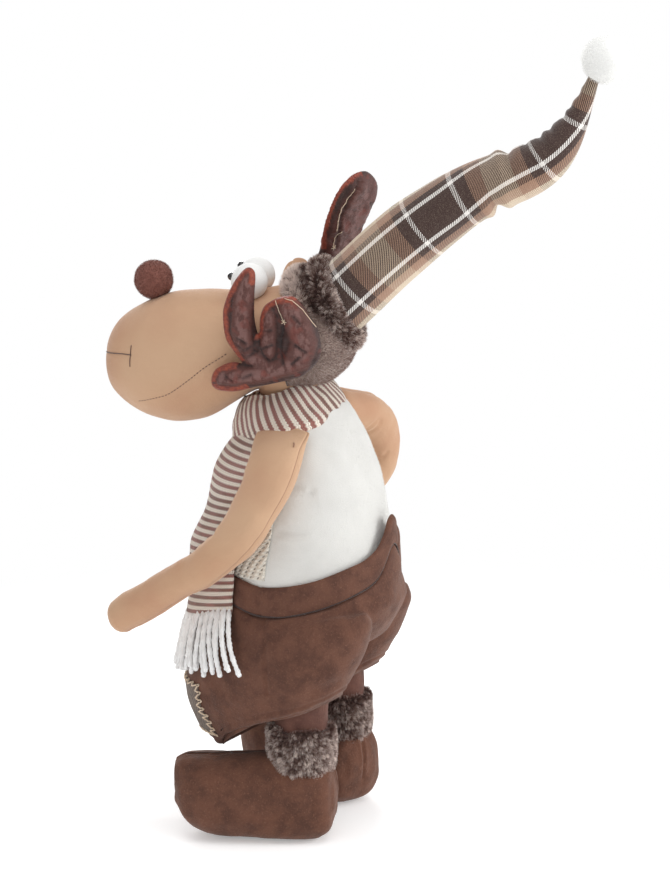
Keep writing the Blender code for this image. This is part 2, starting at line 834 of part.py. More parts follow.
def make_hat():
    """The hat's two plaid halves, which bend at the crease, and its pompom."""
    points, radius = hat_line()
    last = len(points) - 1
    bend = round(HAT_BEND_SHARE * last)
    side = (1, 0, 0)
    upper_rings = limb_rings(points[bend::2], radius[bend::2], side, domes=(True, True))
    pivot_at = Vector(points[bend])
    tip_pivot = pivot("hat_tip_pivot", pivot_at - HAT_AT, HAT_PIVOT)
    shift = -pivot_at
    upper = settle(skinned("hat_upper", upper_rings), PLAID, tip_pivot, shift)
    lower_rings = limb_rings(points[: bend - 1 : 2], radius[: bend - 1 : 2], side, domes=(True, False))
    lower = settle(skinned("hat_lower", lower_rings), PLAID, HAT_PIVOT, -HAT_AT)
    cup = socket("crease_socket", radius[bend], pivot_at - HAT_AT, HAT_PIVOT)
    boolean(lower, cup)
    heading = unit(points[-1] - points[-2])
    tip = points[-1] + heading * (POMPOM_RADIUS + radius[-1] * 0.2)
    pompom = ball("hat_pompom", YARN, POMPOM_RADIUS, Vector(tip) - pivot_at, tip_pivot)
    boolean(pompom, grown(upper, GAP))
    return lower, upper, pompom


HAT = make_hat()


def make_face():
    """Nose ball, eyes with their pupils, and ears, all seated on the head."""
    skull = grown(HEAD, GAP)
    nose_y = -0.765 * MUZZLE_REACH
    nose_at = (0, nose_y, HEAD_MIDDLE + 0.745 * HEAD_HALF_HEIGHT + 0.93 * NOSE_RADIUS)
    boolean(ball("nose_ball", BROWN, NOSE_RADIUS, nose_at, HEAD_PIVOT), skull)
    hooded = grown(HEAD, 2 * GAP + HOOD_THICK)
    for side, name, lift in ((1, "left", 15), (-1, "right", 31)):
        x = side * (EYE_RADIUS + GAP)
        at = Vector((x, -0.245 * MUZZLE_REACH, HEAD_MIDDLE + 1.09 * HEAD_HALF_HEIGHT))
        eye = ball("eye_" + name, YARN, EYE_RADIUS, at, HEAD_PIVOT)
        lift = math.radians(lift)
        gaze = Vector((0, -math.cos(lift), math.sin(lift)))
        seat = at + gaze * EYE_RADIUS
        pupil = ball("pupil_" + name, (0.01, 0.01, 0.01, 1), PUPIL_RADIUS, seat, HEAD_PIVOT, 12)
        boolean(pupil, grown(eye, GAP))
        boolean(eye, skull)
        make_ear(side, name, hooded)


def make_ear(side, name, hooded):
    """A flat tan ear: the right one stands up, the left one lies flat under its antler."""
    standing = side < 0
    forwards = -1.8 * HOOD_FRONT if standing else -HOOD_FRONT
    root = np.array([side * (0.70 if standing else 0.985) * HEAD_HALF_WIDTH, -forwards, 0])
    root[2] = HEAD_MIDDLE + (0.85 if standing else 0.68) * HEAD_HALF_HEIGHT
    heading = unit([-0.55, -0.10, 1.0] if standing else [0.06, 0.50, -0.86])
    normal = unit(np.cross(heading, [0, 1, 0])) if standing else np.array([1, 0, 0.08])
    shares = ((-0.3 if standing else 0.0, 0.75), (0.3, 1.0), (0.6, 0.92), (0.85, 0.55))
    path = [root + heading * EAR_LENGTH * share for share, _ in shares]
    widths = [EAR_HALF_WIDTH * wide for _, wide in shares]
    half = EAR_THICK / (2 if standing else 3)
    thick = [half * wide for _, wide in shares]
    rings = limb_rings(path, widths, normal, thick, domes=(False, True), sides=12)
    ear = settle(skinned("ear_" + name, rings), TAN, HEAD_PIVOT)
    boolean(ear, hooded)
    boolean(ear, grown(BRIM, GAP))
    for antler in ANTLERS:
        boolean(ear, grown(antler, GAP))
    return ear


# An antler's outline, as shares of its span: forwards and up from the middle of its palm
ANTLER_SHARES = (
    (-0.46, -0.40), (-0.56, -0.24), (-0.42, -0.17), (-0.34, -0.08), (-0.42, 0.10),
    (-0.46, 0.32), (-0.40, 0.52), (-0.27, 0.68), (-0.17, 0.58), (-0.16, 0.36),
    (-0.17, 0.12), (-0.14, 0.02), (-0.09, 0.14), (-0.06, 0.28), (0.03, 0.38),
    (0.13, 0.42), (0.23, 0.37), (0.35, 0.19), (0.41, 0.00), (0.38, -0.16),
    (0.28, -0.27), (0.10, -0.30), (-0.14, -0.37), (-0.32, -0.43),
)


def make_antler(name, at, frame, clear):
    """One stuffed antler: a filled outline with a rounded rim, seated on the head."""
    curve = bpy.data.curves.new(name, "CURVE")
    curve.dimensions = "2D"
    curve.fill_mode = "BOTH"
    line = curve.splines.new("BEZIER")
    line.bezier_points.add(len(ANTLER_SHARES) - 1)
    for point, (ahead, up) in zip(line.bezier_points, ANTLER_SHARES):
        point.co = (ahead * ANTLER_SPAN, up * ANTLER_SPAN, 0)
        point.handle_left_type = "AUTO"
        point.handle_right_type = "AUTO"
    line.use_cyclic_u = True
    line.resolution_u = 2
    curve.resolution_u = 2
    soft = ANTLER_THICK * 0.32
    curve.bevel_depth = soft
    curve.bevel_resolution = 1
    curve.extrude = ANTLER_THICK / 2 - soft
    curve.offset = -soft
    source = bpy.data.objects.new(name + "_outline", curve)
    CUTTERS.objects.link(source)
    graph = bpy.context.evaluated_depsgraph_get()
    mesh = bpy.data.meshes.new_from_object(source.evaluated_get(graph))
    bpy.data.objects.remove(source)
    shape = bmesh.new()
    shape.from_mesh(mesh)
    bmesh.ops.remove_doubles(shape, verts=shape.verts, dist=WELD)
    bmesh.ops.recalc_face_normals(shape, faces=shape.faces)
    shape.to_mesh(mesh)
    shape.free()
    mesh.shade_smooth()
    mesh.set_sharp_from_angle(angle=math.radians(50))
    antler = bpy.data.objects.new(name, mesh)
    settle(antler, VELVET, HEAD_PIVOT)
    antler.matrix_local = Matrix.Translation(at) @ frame.to_4x4()
    for cutter in clear:
        boolean(antler, cutter)
    return antler


def antler_frame(ahead, up):
    """Axes of an antler's plane: its outline's forwards and up, and their normal."""
    ahead, up = Vector(ahead).normalized(), Vector(up).normalized()
    up = (up - ahead * up.dot(ahead)).normalized()
    return Matrix((ahead, up, ahead.cross(up))).transposed()


def make_antlers():
    clear = [grown(HEAD, 2 * GAP + HOOD_THICK), grown(BRIM, GAP)]
    left_at = Vector((ANTLER_LEFT_OUT, -ANTLER_LEFT_AHEAD, HEAD_MIDDLE + ANTLER_LEFT_RISE))
    flat = antler_frame((0, 1, 0), (0, 0, 1))
    left = make_antler("antler_left", left_at, flat, clear)
    right_at = Vector((-ANTLER_RIGHT_OUT, ANTLER_RIGHT_BEHIND, HEAD_MIDDLE + ANTLER_RIGHT_RISE))
    turned_out = antler_frame((-0.86, 0.46, -0.20), (0.0, 0.40, 0.92))
    right = make_antler("antler_right", right_at, turned_out, clear)
    return left, right


ANTLERS = make_antlers()
make_face()


def wrap_frame():
    """The scarf ring's own axes, tipped forwards with the neck."""
    s, c = math.sin(WRAP_TILT), math.cos(WRAP_TILT)
    return np.array([0, c, s]), np.array([0, -s, c])


def make_scarf_wrap():
    """The scarf round the neck, a flared ring that rests on the shoulders."""
    back, up = wrap_frame()
    middle = np.array([0, WRAP_Y, WRAP_Z])
    shares = ((-0.50, 1.00), (-0.42, 1.035), (-0.1, 0.80), (0.25, 0.35), (0.46, 0.03), (0.5, -0.12))
    rings = []
    for height, flare in shares:
        wide = WRAP_TOP_RADIUS + flare * (WRAP_FOOT_WIDTH - WRAP_TOP_RADIUS)
        deep = WRAP_TOP_RADIUS + flare * (WRAP_FOOT_DEPTH - WRAP_TOP_RADIUS)
        centre = middle + up * height * WRAP_HEIGHT
        rings.append(ring(centre, (wide, 0, 0), deep * back, 28))
    wrap = settle(skinned("scarf_wrap", rings), KNIT, ROOT)
    boolean(wrap, grown(TORSO, GAP))
    boolean(wrap, grown(NECK, 7 * GAP))
    for turn in (-HEAD_TURN, 0, HEAD_TURN):
        swept = grown(HEAD, HOOD_THICK + WRAP_HEAD_CLEAR)
        swept.rotation_euler[2] = turn
        boolean(wrap, swept)
    return wrap


WRAP = make_scarf_wrap()

# A scarf tail: how far down, its first and last angle round the body, and its room there
LEFT_TAIL_SHARES = (
    (0.00, -44, -78, 0.63, 0.80),
    (0.18, -36, -76, 0.41, 1.00),
    (0.42, -27, -74, 0.34, 1.05),
    (0.66, -22, -73, 0.33, 0.95),
    (0.84, -21, -72, 0.33, 0.85),
    (1.00, -21, -70, 0.37, 0.90),
)
RIGHT_TAIL_SHARES = (
    (0.00, -82, -118, 0.64, 0.64),
    (0.18, -80, -121, 0.42, 0.42),
    (0.42, -78, -124, 0.38, 0.38),
    (0.68, -77, -124, 0.52, 0.54),
    (0.84, -76, -124, 0.62, 0.66),
    (1.00, -76, -124, 0.87, 1.12),
)
LEFT_FRINGE_SHARES = (
    (0.00, -21, -70, 0.42, 0.94),
    (0.30, -17, -70, 1.00, 1.12),
    (0.65, -12, -70, 1.50, 1.26),
    (1.00, -8, -71, 1.72, 1.42),
)
RIGHT_FRINGE_SHARES = (
    (0.00, -76, -124, 0.90, 1.16),
    (0.35, -75, -125, 1.05, 1.65),
    (0.70, -74, -126, 1.20, 1.85),
    (1.00, -73, -127, 1.30, 1.95),
)


def draped_rings(rows, top, foot, thick, skews):
    """Rings of a cloth strip that lies round the belly, each a curved slab's section."""
    rings = []
    across = 7
    for drop, first, last, near, far in eased(rows, 2):
        level = top + drop * (foot - top)
        skew = skews[0] + drop * (skews[1] - skews[0])
        inner, outer = [], []
        for share in np.linspace(0, 1, across):
            z = level + skew * (1 - share)
            y, width, depth = body_ellipse(max(z, SEAM_HEIGHT))
            turn = math.radians(first + share * (last - first))
            room = TAIL_ROOM * (near + share * (far - near))
            for points, off in ((inner, room), (outer, room + thick)):
                x = math.cos(turn) * (width + off)
                points.append((x, y + math.sin(turn) * (depth + off), z))
        rings.append(inner + outer[::-1])
    return rings


def make_tail(name, rows, fringe_rows, skew):
    """A hanging end of the scarf with its yarn fringe, which swing forwards together."""
    hinge = Vector((0, TAIL_HINGE_Y, TAIL_TOP))
    tail_pivot = pivot(f"tail_{name}_pivot", hinge, ROOT)
    rings = draped_rings(rows, TAIL_TOP, TAIL_FOOT, TAIL_THICK, (0, skew))
    settle(skinned("scarf_tail_" + name, rings), KNIT, tail_pivot, -hinge)
    head = TAIL_FOOT - GAP
    foot = head - FRINGE_LENGTH
    fringe = draped_rings(fringe_rows, head, foot, FRINGE_THICK, (skew, skew))
    settle(skinned("fringe_" + name, fringe), YARN, tail_pivot, -hinge)


make_tail("left", LEFT_TAIL_SHARES, LEFT_FRINGE_SHARES, TAIL_SKEW)
make_tail("right", RIGHT_TAIL_SHARES, RIGHT_FRINGE_SHARES, 0)


def arm_plane_point(y, up, out):
    """A point from its place in the plane that touches the body's left side."""
    s, c = math.sin(ARM_SPLAY), math.cos(ARM_SPLAY)
    origin = np.array([ARM_PLANE_OUT, 0, ARM_PLANE_Z])
    return origin + np.array([out * c - up * s, y, up * c + out * s])


FOREARM_SHARES = ((0.0, 1.0), (0.3, 0.97), (0.6, 0.96), (0.85, 0.98), (1.0, 0.92))
UPPER_ARM_SHARES = (
    (0.0, 1.0, 1.0, 0.0),
    (0.3, 0.98, 1.0, 0.025),
    (0.6, 0.94, 1.0, 0.020),
    (0.84, 0.86, 1.0, 0.005),
)


def make_left_arm():
    """Upper arm and forearm, flat against the side of the body."""
    normal = (math.cos(ARM_SPLAY), 0, math.sin(ARM_SPLAY))
    out = ARM_HALF_THICK + RUN
    shoulder_yz = np.array([LEFT_SHOULDER_Y, LEFT_SHOULDER_UP])
    lean = np.array([-math.sin(LEFT_UPPER_LEAN), -math.cos(LEFT_UPPER_LEAN)])
    elbow_yz = shoulder_yz + lean * LEFT_UPPER_ARM_LENGTH
    shoulder = arm_plane_point(*shoulder_yz, out)
    elbow = arm_plane_point(*elbow_yz, out)
    upper_pivot = pivot("left_shoulder_pivot", shoulder, ROOT)
    path, widths, thicks = [], [], []
    for along, wide, thick, bow in UPPER_ARM_SHARES:
        bowed = np.array([bow * LEFT_UPPER_ARM_LENGTH, 0])
        yz = shoulder_yz + lean * along * LEFT_UPPER_ARM_LENGTH + bowed
        path.append(arm_plane_point(*yz, out))
        widths.append(wide * ARM_HALF_WIDTH)
        thicks.append(thick * ARM_HALF_THICK)
    table = eased(np.column_stack([path, widths, thicks]), 2)
    rings = limb_rings(table[:, :3], table[:, 3], normal, table[:, 4], domes=(True, False))
    upper = settle(skinned("upper_arm_left", rings), TAN, upper_pivot, -Vector(shoulder))
    boolean(upper, socket("left_elbow_socket", ELBOW_RADIUS, Vector(elbow - shoulder), upper_pivot))
    elbow_pivot = pivot("left_elbow_pivot", elbow - shoulder, upper_pivot)
    reach = np.array([0, -math.cos(LEFT_FOREARM_DROP), -math.sin(LEFT_FOREARM_DROP)])
    path, widths = [], []
    for along, wide in FOREARM_SHARES:
        path.append(elbow + reach * along * LEFT_FOREARM_LENGTH)
        widths.append(wide * ELBOW_RADIUS)
    rings = limb_rings(path, widths, (1, 0, 0))
    settle(skinned("forearm_left", rings), TAN, elbow_pivot, -Vector(elbow))


make_left_arm()


# The right arm's directions, and its place along, its bow and its width
RIGHT_UPPER_SHARES = (-0.52, 0.12, -0.34)
RIGHT_FOREARM_SHARES = (0.24, -0.26, -0.54)
RIGHT_ARM_SHARES = ((0.0, 0.0, 1.0), (0.25, 0.09, 0.98), (0.5, 0.13, 0.95), (0.80, 0.07, 0.92))


def make_right_arm():
    """The arm that is bent with its hand on the hip."""
    height = TORSO_TOP - RIGHT_SHOULDER_DROP
    shoulder = np.array([-RIGHT_SHOULDER_OUT, -RIGHT_SHOULDER_AHEAD, height])
    elbow = shoulder + RIGHT_UPPER_ARM_LENGTH * unit(RIGHT_UPPER_SHARES)
    hand = elbow + RIGHT_FOREARM_LENGTH * unit(RIGHT_FOREARM_SHARES)
    normal = unit(np.cross(elbow - shoulder, hand - elbow))
    upper_pivot = pivot("right_shoulder_pivot", shoulder, ROOT)
    lift = unit(np.cross(normal, elbow - shoulder))
    lift = lift if lift[2] > 0 else -lift
    path, widths = [], []
    for along, bow, wide in RIGHT_ARM_SHARES:
        path.append(shoulder + (elbow - shoulder) * along + lift * bow * RIGHT_UPPER_ARM_LENGTH)
        widths.append(wide * RIGHT_BALL_RADIUS)
    table = eased(np.column_stack([path, widths]), 2)
    rings = limb_rings(table[:, :3], table[:, 3], normal, domes=(True, False))
    upper = settle(skinned("upper_arm_right", rings), TAN, upper_pivot, -Vector(shoulder))
    joint = Vector(elbow - shoulder)
    boolean(upper, socket("right_elbow_socket", ELBOW_RADIUS, joint, upper_pivot))
    elbow_pivot = pivot("right_elbow_pivot", joint, upper_pivot)
    path, widths = [], []
    for along, wide in FOREARM_SHARES:
        path.append(elbow + (hand - elbow) * along)
        widths.append(wide * ELBOW_RADIUS)
    rings = limb_rings(path, widths, normal)
    settle(skinned("forearm_right", rings), TAN, elbow_pivot, -Vector(elbow))
    cup = socket("right_shoulder_socket", RIGHT_BALL_RADIUS, shoulder, ROOT)
    boolean(TORSO, cup)
    boolean(WRAP, cup)


make_right_arm()


def centre_on_floor():
    """Move the root so that the origin is below the middle of the bounding box."""
    bpy.context.view_layer.update()
    graph = bpy.context.evaluated_depsgraph_get()
    low, high = np.full(3, np.inf), np.full(3, -np.inf)
    for obj in PARTS.objects:
        if obj.type != "MESH":
            continue
        shape = obj.evaluated_get(graph)
        mesh = shape.to_mesh()
        points = np.array([shape.matrix_world @ v.co for v in mesh.vertices])
        low, high = np.minimum(low, points.min(0)), np.maximum(high, points.max(0))
        shape.to_mesh_clear()
    middle = (low + high) / 2
    ROOT.location = (-middle[0], -middle[1], -low[2])
    bpy.context.view_layer.update()


centre_on_floor()
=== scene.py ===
"""Dresses the plush deer: stuffed cloth, fur, knitting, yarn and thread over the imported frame.

Metres, +Z up, and the deer faces -Y. Shapes are worked out in the maker's frame, whose origin
is on the floor below the body, and move into the shared frame when they are placed. The head's
own frame has its origin on the floor below the neck and is turned by the head's yaw.
"""

from __future__ import annotations

import json  # noqa: E402
import logging
import math
from dataclasses import dataclass, field, replace
from enum import Enum
from typing import Callable, Sequence

import bmesh
import bpy
import numpy as np
from mathutils import Matrix, Vector
from mathutils.bvhtree import BVHTree
from mathutils.geometry import delaunay_2d_cdt

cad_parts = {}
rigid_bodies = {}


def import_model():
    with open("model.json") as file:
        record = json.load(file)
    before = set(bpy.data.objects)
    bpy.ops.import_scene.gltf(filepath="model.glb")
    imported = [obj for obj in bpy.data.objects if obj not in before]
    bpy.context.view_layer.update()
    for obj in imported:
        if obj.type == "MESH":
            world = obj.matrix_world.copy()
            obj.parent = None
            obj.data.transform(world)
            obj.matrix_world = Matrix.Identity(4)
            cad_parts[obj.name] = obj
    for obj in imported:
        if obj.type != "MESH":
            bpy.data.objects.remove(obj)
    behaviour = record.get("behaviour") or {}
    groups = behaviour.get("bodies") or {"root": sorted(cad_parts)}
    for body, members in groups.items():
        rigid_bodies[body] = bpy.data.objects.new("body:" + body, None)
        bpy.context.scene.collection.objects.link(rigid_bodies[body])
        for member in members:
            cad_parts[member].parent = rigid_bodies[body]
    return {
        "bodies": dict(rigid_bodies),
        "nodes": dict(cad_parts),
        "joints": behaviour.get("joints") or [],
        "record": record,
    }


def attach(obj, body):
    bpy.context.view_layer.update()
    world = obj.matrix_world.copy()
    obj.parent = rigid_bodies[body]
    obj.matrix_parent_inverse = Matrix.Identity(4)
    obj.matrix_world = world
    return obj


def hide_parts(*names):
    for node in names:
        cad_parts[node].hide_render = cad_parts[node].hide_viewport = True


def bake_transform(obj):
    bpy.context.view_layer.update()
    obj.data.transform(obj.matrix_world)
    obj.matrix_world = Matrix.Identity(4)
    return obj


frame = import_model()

LOG = logging.getLogger("plush_deer")
Colour = tuple[float, float, float]
Rows = Sequence[Sequence[float]]
HASH_PRIMES = np.array([73856093, 19349663, 83492791])


def dye(red: int, green: int, blue: int) -> Colour:
    """A cloth colour, written as it looks on a screen, in the linear values of a shader."""
    shares = (value / 255 for value in (red, green, blue))
    return tuple(c / 12.92 if c <= 0.04045 else ((c + 0.055) / 1.055) ** 2.4 for c in shares)


# shapes in numbers


def eased(rows: Rows | np.ndarray, steps: int) -> np.ndarray:
    """Rows of numbers with smooth rows set in between, by Catmull-Rom.

    Args:
        rows: The rows that the curve passes through.
        steps: How many rows each span gets.

    Returns:
        The finer rows, from the first to the last.
    """
    rows = np.array(rows, float)
    padded = np.concatenate([[2 * rows[0] - rows[1]], rows, [2 * rows[-1] - rows[-2]]])
    out = []
    for a, b, c, d in zip(padded, padded[1:], padded[2:], padded[3:]):
        for t in np.arange(steps) / steps:
            curve = 2 * b + (c - a) * t + (2 * a - 5 * b + 4 * c - d) * t**2
            out.append((curve + (3 * b - a - 3 * c + d) * t**3) / 2)
    out.append(rows[-1])
    return np.array(out)


def spaced(path: Rows | np.ndarray, count: int) -> np.ndarray:
    """A path's points set out again at equal distances along it.

    Args:
        path: The path, with further numbers beside its coordinates if need be.
        count: How many points.

    Returns:
        The new points.
    """
    path = np.array(path, float)
    run = np.concatenate([[0], np.cumsum(np.linalg.norm(np.diff(path, axis=0), axis=1))])
    at = np.linspace(0, run[-1], count)
    return np.column_stack([np.interp(at, run, path[:, k]) for k in range(path.shape[1])])


def unit(vectors: np.ndarray | Sequence[float]) -> np.ndarray:
    """Vectors scaled to a length of 1."""
    vectors = np.asarray(vectors, float)
    return vectors / np.maximum(np.linalg.norm(vectors, axis=-1, keepdims=True), 1e-12)


def hump(values: np.ndarray, middle: float, width: float) -> np.ndarray:
    """A bell curve of height 1."""
    return np.exp(-(((values - middle) / width) ** 2))


def step_up(values: np.ndarray, low: float, high: float) -> np.ndarray:
    """A smooth step from 0 at low to 1 at high."""
    share = np.clip((values - low) / (high - low), 0, 1)
    return share * share * (3 - 2 * share)


def cloud(points: np.ndarray, size: float, seed: int = 0) -> np.ndarray:
    """Smooth noise from -1 to 1.

    Args:
        points: Places, with their coordinates last.
        size: How far apart the lumps are, in metres.
        seed: Which noise.

    Returns:
        The noise at each place.
    """
    place = np.asarray(points, float) / size + 31.7 * (seed + 1)
    cell = np.floor(place).astype(np.int64)
    share = place - cell
    share = share**3 * (share * (share * 6 - 15) + 10)
    total = np.zeros(place.shape[:-1])
    for corner in range(8):
        step = np.array([corner >> 2 & 1, corner >> 1 & 1, corner & 1])
        key = (cell + step) * HASH_PRIMES
        mixed = key[..., 0] ^ key[..., 1] ^ key[..., 2] ^ (seed * 40503 + 977)
        mixed = ((mixed ^ (mixed >> 13)) * 1274126177) & 0xFFFFFFFF
        value = ((mixed >> 8) & 0xFFFF) / 32767.5 - 1
        total += value * np.prod(np.where(step, share, 1 - share), axis=-1)
    return total


def turns(count: int) -> np.ndarray:
    """Angles evenly round a circle, from 0."""
    return np.arange(count) * math.tau / count


def ellipses(centres: np.ndarray, across: np.ndarray, up: np.ndarray, sides: int) -> np.ndarray:
    """Rings of points round ellipses that have across and up as their half axes.

    Args:
        centres: The rings' middles.
        across: Their first half axes.
        up: Their second half axes.
        sides: Points round each ring.

    Returns:
        Rows by sides by 3.
    """
    turn = turns(sides)
    c, s = np.cos(turn)[None, :, None], np.sin(turn)[None, :, None]
    return centres[:, None] + c * across[:, None] + s * up[:, None]


def stacked(
    z: np.ndarray, radius: np.ndarray | float, sides: int, x: float = 0.0, y: np.ndarray | float = 0.0
) -> np.ndarray:
    """Round rings one above another.

    Args:
        z: The rings' heights.
        radius: Their radius, or one for each.
        sides: Points round each ring.
        x: Their middle in x.
        y: Their middle in y, or one for each.

    Returns:
        Rows by sides by 3.
    """
    centres = np.column_stack([x + 0 * z, y + 0 * z, z])
    across = np.column_stack([radius + 0 * z, 0 * z, 0 * z])
    return ellipses(centres, across, across[:, [1, 0, 2]], sides)


def domed(count: int, steps: int) -> list[tuple]:
    """A yarn's rows with round ends: which point, how far past it, and its share of width.

    Args:
        count: How many points the path has.
        steps: How many rows round each end.

    Returns:
        The rows.
    """
    ends = [k * math.pi / 2 / steps for k in range(1, steps)]
    rows = [(0, -math.sin(t), math.cos(t)) for t in reversed(ends)]
    rows += [(k, 0.0, 1.0) for k in range(count)]
    return rows + [(count - 1, math.sin(t), math.cos(t)) for t in ends]


class Ends(Enum):
    """How the first and the last row of a skin are finished."""

    CLOSED = "closed"
    OPEN = "open"


@dataclass
class Skin:
    """A cloth surface: rows of points along it, and columns round or across it.

    Attributes:
        points: The places, rows by columns by 3.
        wraps: Whether the last column joins the first.
        seam: The place from 0 to 1 round it from which distances across are counted.
        twist: Metres by which each row's distances across are moved.
        even: Whether all rows take the mean distances across.
    """

    points: np.ndarray
    wraps: bool = True
    seam: float = 0.0
    twist: np.ndarray | None = None
    even: bool = False

    def normals(self) -> np.ndarray:
        """The outward direction at each point.

        Returns:
            Rows by columns by 3.
        """
        p = self.points
        across = np.roll(p, -1, 1) - np.roll(p, 1, 1) if self.wraps else np.gradient(p, axis=1)
        normal = unit(np.cross(across, np.gradient(p, axis=0)))
        inward = self.wraps and (normal * (p - p.mean(1, keepdims=True))).sum() < 0
        return -normal if inward else normal

    def raised(self, height: np.ndarray | float) -> "Skin":
        """The skin moved outwards by a height at each point."""
        height = np.broadcast_to(height, self.points.shape[:2])
        return replace(self, points=self.points + self.normals() * height[..., None])

    def cloth(self) -> np.ndarray:
        """Metres across and along the cloth at each point, with a column more where it wraps.

        Returns:
            Rows by columns by 2.
        """
        p = np.concatenate([self.points, self.points[:, :1]], 1) if self.wraps else self.points
        steps = np.linalg.norm(np.diff(p, axis=1), axis=2)
        across = np.concatenate([np.zeros((len(p), 1)), np.cumsum(steps, 1)], 1)
        column = int(self.seam * (p.shape[1] - 1))
        across = across - across[:, column : column + 1]
        if self.even:
            across = np.broadcast_to(across.mean(0), across.shape)
        if self.twist is not None:
            across = across + self.twist[:, None]
        rises = np.linalg.norm(np.diff(p, axis=0), axis=2).mean(1)
        along = np.concatenate([[0], np.cumsum(rises)])[:, None]
        return np.stack([across, np.broadcast_to(along, across.shape)], 2)

    def faces(self) -> np.ndarray:
        """The quads between the rows, as numbers of points.

        Returns:
            Four numbers for each quad.
        """
        rows, columns = self.points.shape[:2]
        r, c = np.meshgrid(np.arange(rows - 1), np.arange(columns - (not self.wraps)), indexing="ij")
        d = (c + 1) % columns
        low, high = r * columns, (r + 1) * columns
        return np.stack([low + c, low + d, high + d, high + c], -1).reshape(-1, 4)

    def mesh(self, name: str, ends: Ends = Ends.CLOSED) -> bpy.types.Mesh:
        """The skin as a smooth mesh with the UV map "cloth" in metres.

        Args:
            name: The mesh's name.
            ends: Whether a wrapping skin's first and last rows are closed.

        Returns:
            The mesh.
        """
        rows, columns = self.points.shape[:2]
        points = self.points.reshape(-1, 3)
        quads = self.faces()
        cloth = self.cloth()
        r, c = quads[:, 0] // columns, quads[:, 0] % columns
        spots = [cloth[r, c], cloth[r, c + 1], cloth[r + 1, c + 1], cloth[r + 1, c]]
        uv = np.stack(spots, 1).reshape(-1, 2)
        faces = quads.tolist()
        if self.wraps and ends is Ends.CLOSED:
            for row, turn in ((0, -1), (rows - 1, 1)):
                hub = len(points)
                points = np.vstack([points, self.points[row].mean(0)])
                for k in range(columns):
                    a, b = row * columns + k, row * columns + (k + 1) % columns
                    faces.append((a, b, hub) if turn > 0 else (b, a, hub))
                    ca, cb = cloth[row, k], cloth[row, k + 1]
                    mid = (ca + cb) / 2
                    uv = np.vstack([uv, [ca, cb, mid] if turn > 0 else [cb, ca, mid]])
        return woven_mesh(name, points, faces, uv, outward=self.wraps)


def woven_mesh(
    name: str,
    points: np.ndarray,
    faces: Sequence[Sequence[int]],
    uv: np.ndarray | None = None,
    tints: dict[str, np.ndarray] | None = None,
    outward: bool = True,
) -> bpy.types.Mesh:
    """A smooth mesh with its cloth map and its named numbers.

    Args:
        name: The mesh's name.
        points: Its vertices.
        faces: Its faces.
        uv: Two numbers for each corner of each face.
        tints: A number for each vertex, by name.
        outward: Whether a mesh that is inside out is turned.

    Returns:
        The mesh.
    """
    mesh = bpy.data.meshes.new(name)
    mesh.from_pydata(np.asarray(points).tolist(), [], [tuple(face) for face in faces])
    if uv is not None:
        layer = mesh.uv_layers.new(name="cloth")
        layer.uv.foreach_set("vector", np.asarray(uv, np.float32).ravel())
    for key, values in (tints or {}).items():
        made = mesh.attributes.new(key, "FLOAT", "POINT")
        made.data.foreach_set("value", np.asarray(values, np.float32))
    if outward:
        shape = bmesh.new()
        shape.from_mesh(mesh)
        inside_out = shape.calc_volume(signed=True) < 0
        shape.free()
        if inside_out:
            mesh.flip_normals()
    mesh.shade_smooth()
    return mesh


@dataclass
class Roots:
    """Where strands grow: places, outward directions, the way the pile lies, and its tone."""

    at: np.ndarray
    out: np.ndarray
    lie: np.ndarray
    tone: np.ndarray


def rooted(
    skin: Skin,
    count: int,
    rng: np.random.Generator,
    tone: Callable[[np.ndarray, np.ndarray, np.ndarray], np.ndarray] | None = None,
    keep: Callable[[np.ndarray, np.ndarray], np.ndarray] | None = None,
) -> Roots:
    """Random places on a skin, evenly by area.

    Args:
        skin: The surface.
        count: How many strands.
        rng: The seeded source of chance.
        tone: The tone from the share of rows, the share of columns and the places.
        keep: The chance from 0 to 1 that a place stays, from the same two shares.

    Returns:
        The strands' roots. The pile lies along the rows' direction.
    """
    normals = skin.normals()
    flat, out = skin.points.reshape(-1, 3), normals.reshape(-1, 3)
    quads = skin.faces()
    p = flat[quads]
    area = np.linalg.norm(np.cross(p[:, 2] - p[:, 0], p[:, 3] - p[:, 1]), axis=1)
    rows, columns = skin.points.shape[:2]
    if keep is not None:
        area = area * keep((quads[:, 0] // columns) / (rows - 1), (quads[:, 0] % columns) / columns)
    pick = rng.choice(len(quads), count, p=area / area.sum())
    a, b = rng.random((2, count))
    weights = np.stack([(1 - a) * (1 - b), a * (1 - b), a * b, (1 - a) * b], 1)[..., None]
    chosen = quads[pick]
    at = (flat[chosen] * weights).sum(1)
    normal = unit((out[chosen] * weights).sum(1))
    lie = unit(flat[chosen[:, 3]] - flat[chosen[:, 0]])
    row = (chosen[:, 0] // columns + b) / (rows - 1)
    column = (chosen[:, 0] % columns + a) / columns
    shade = tone(row, column, at) if tone else np.zeros(count)
    return Roots(at, normal, lie, shade)


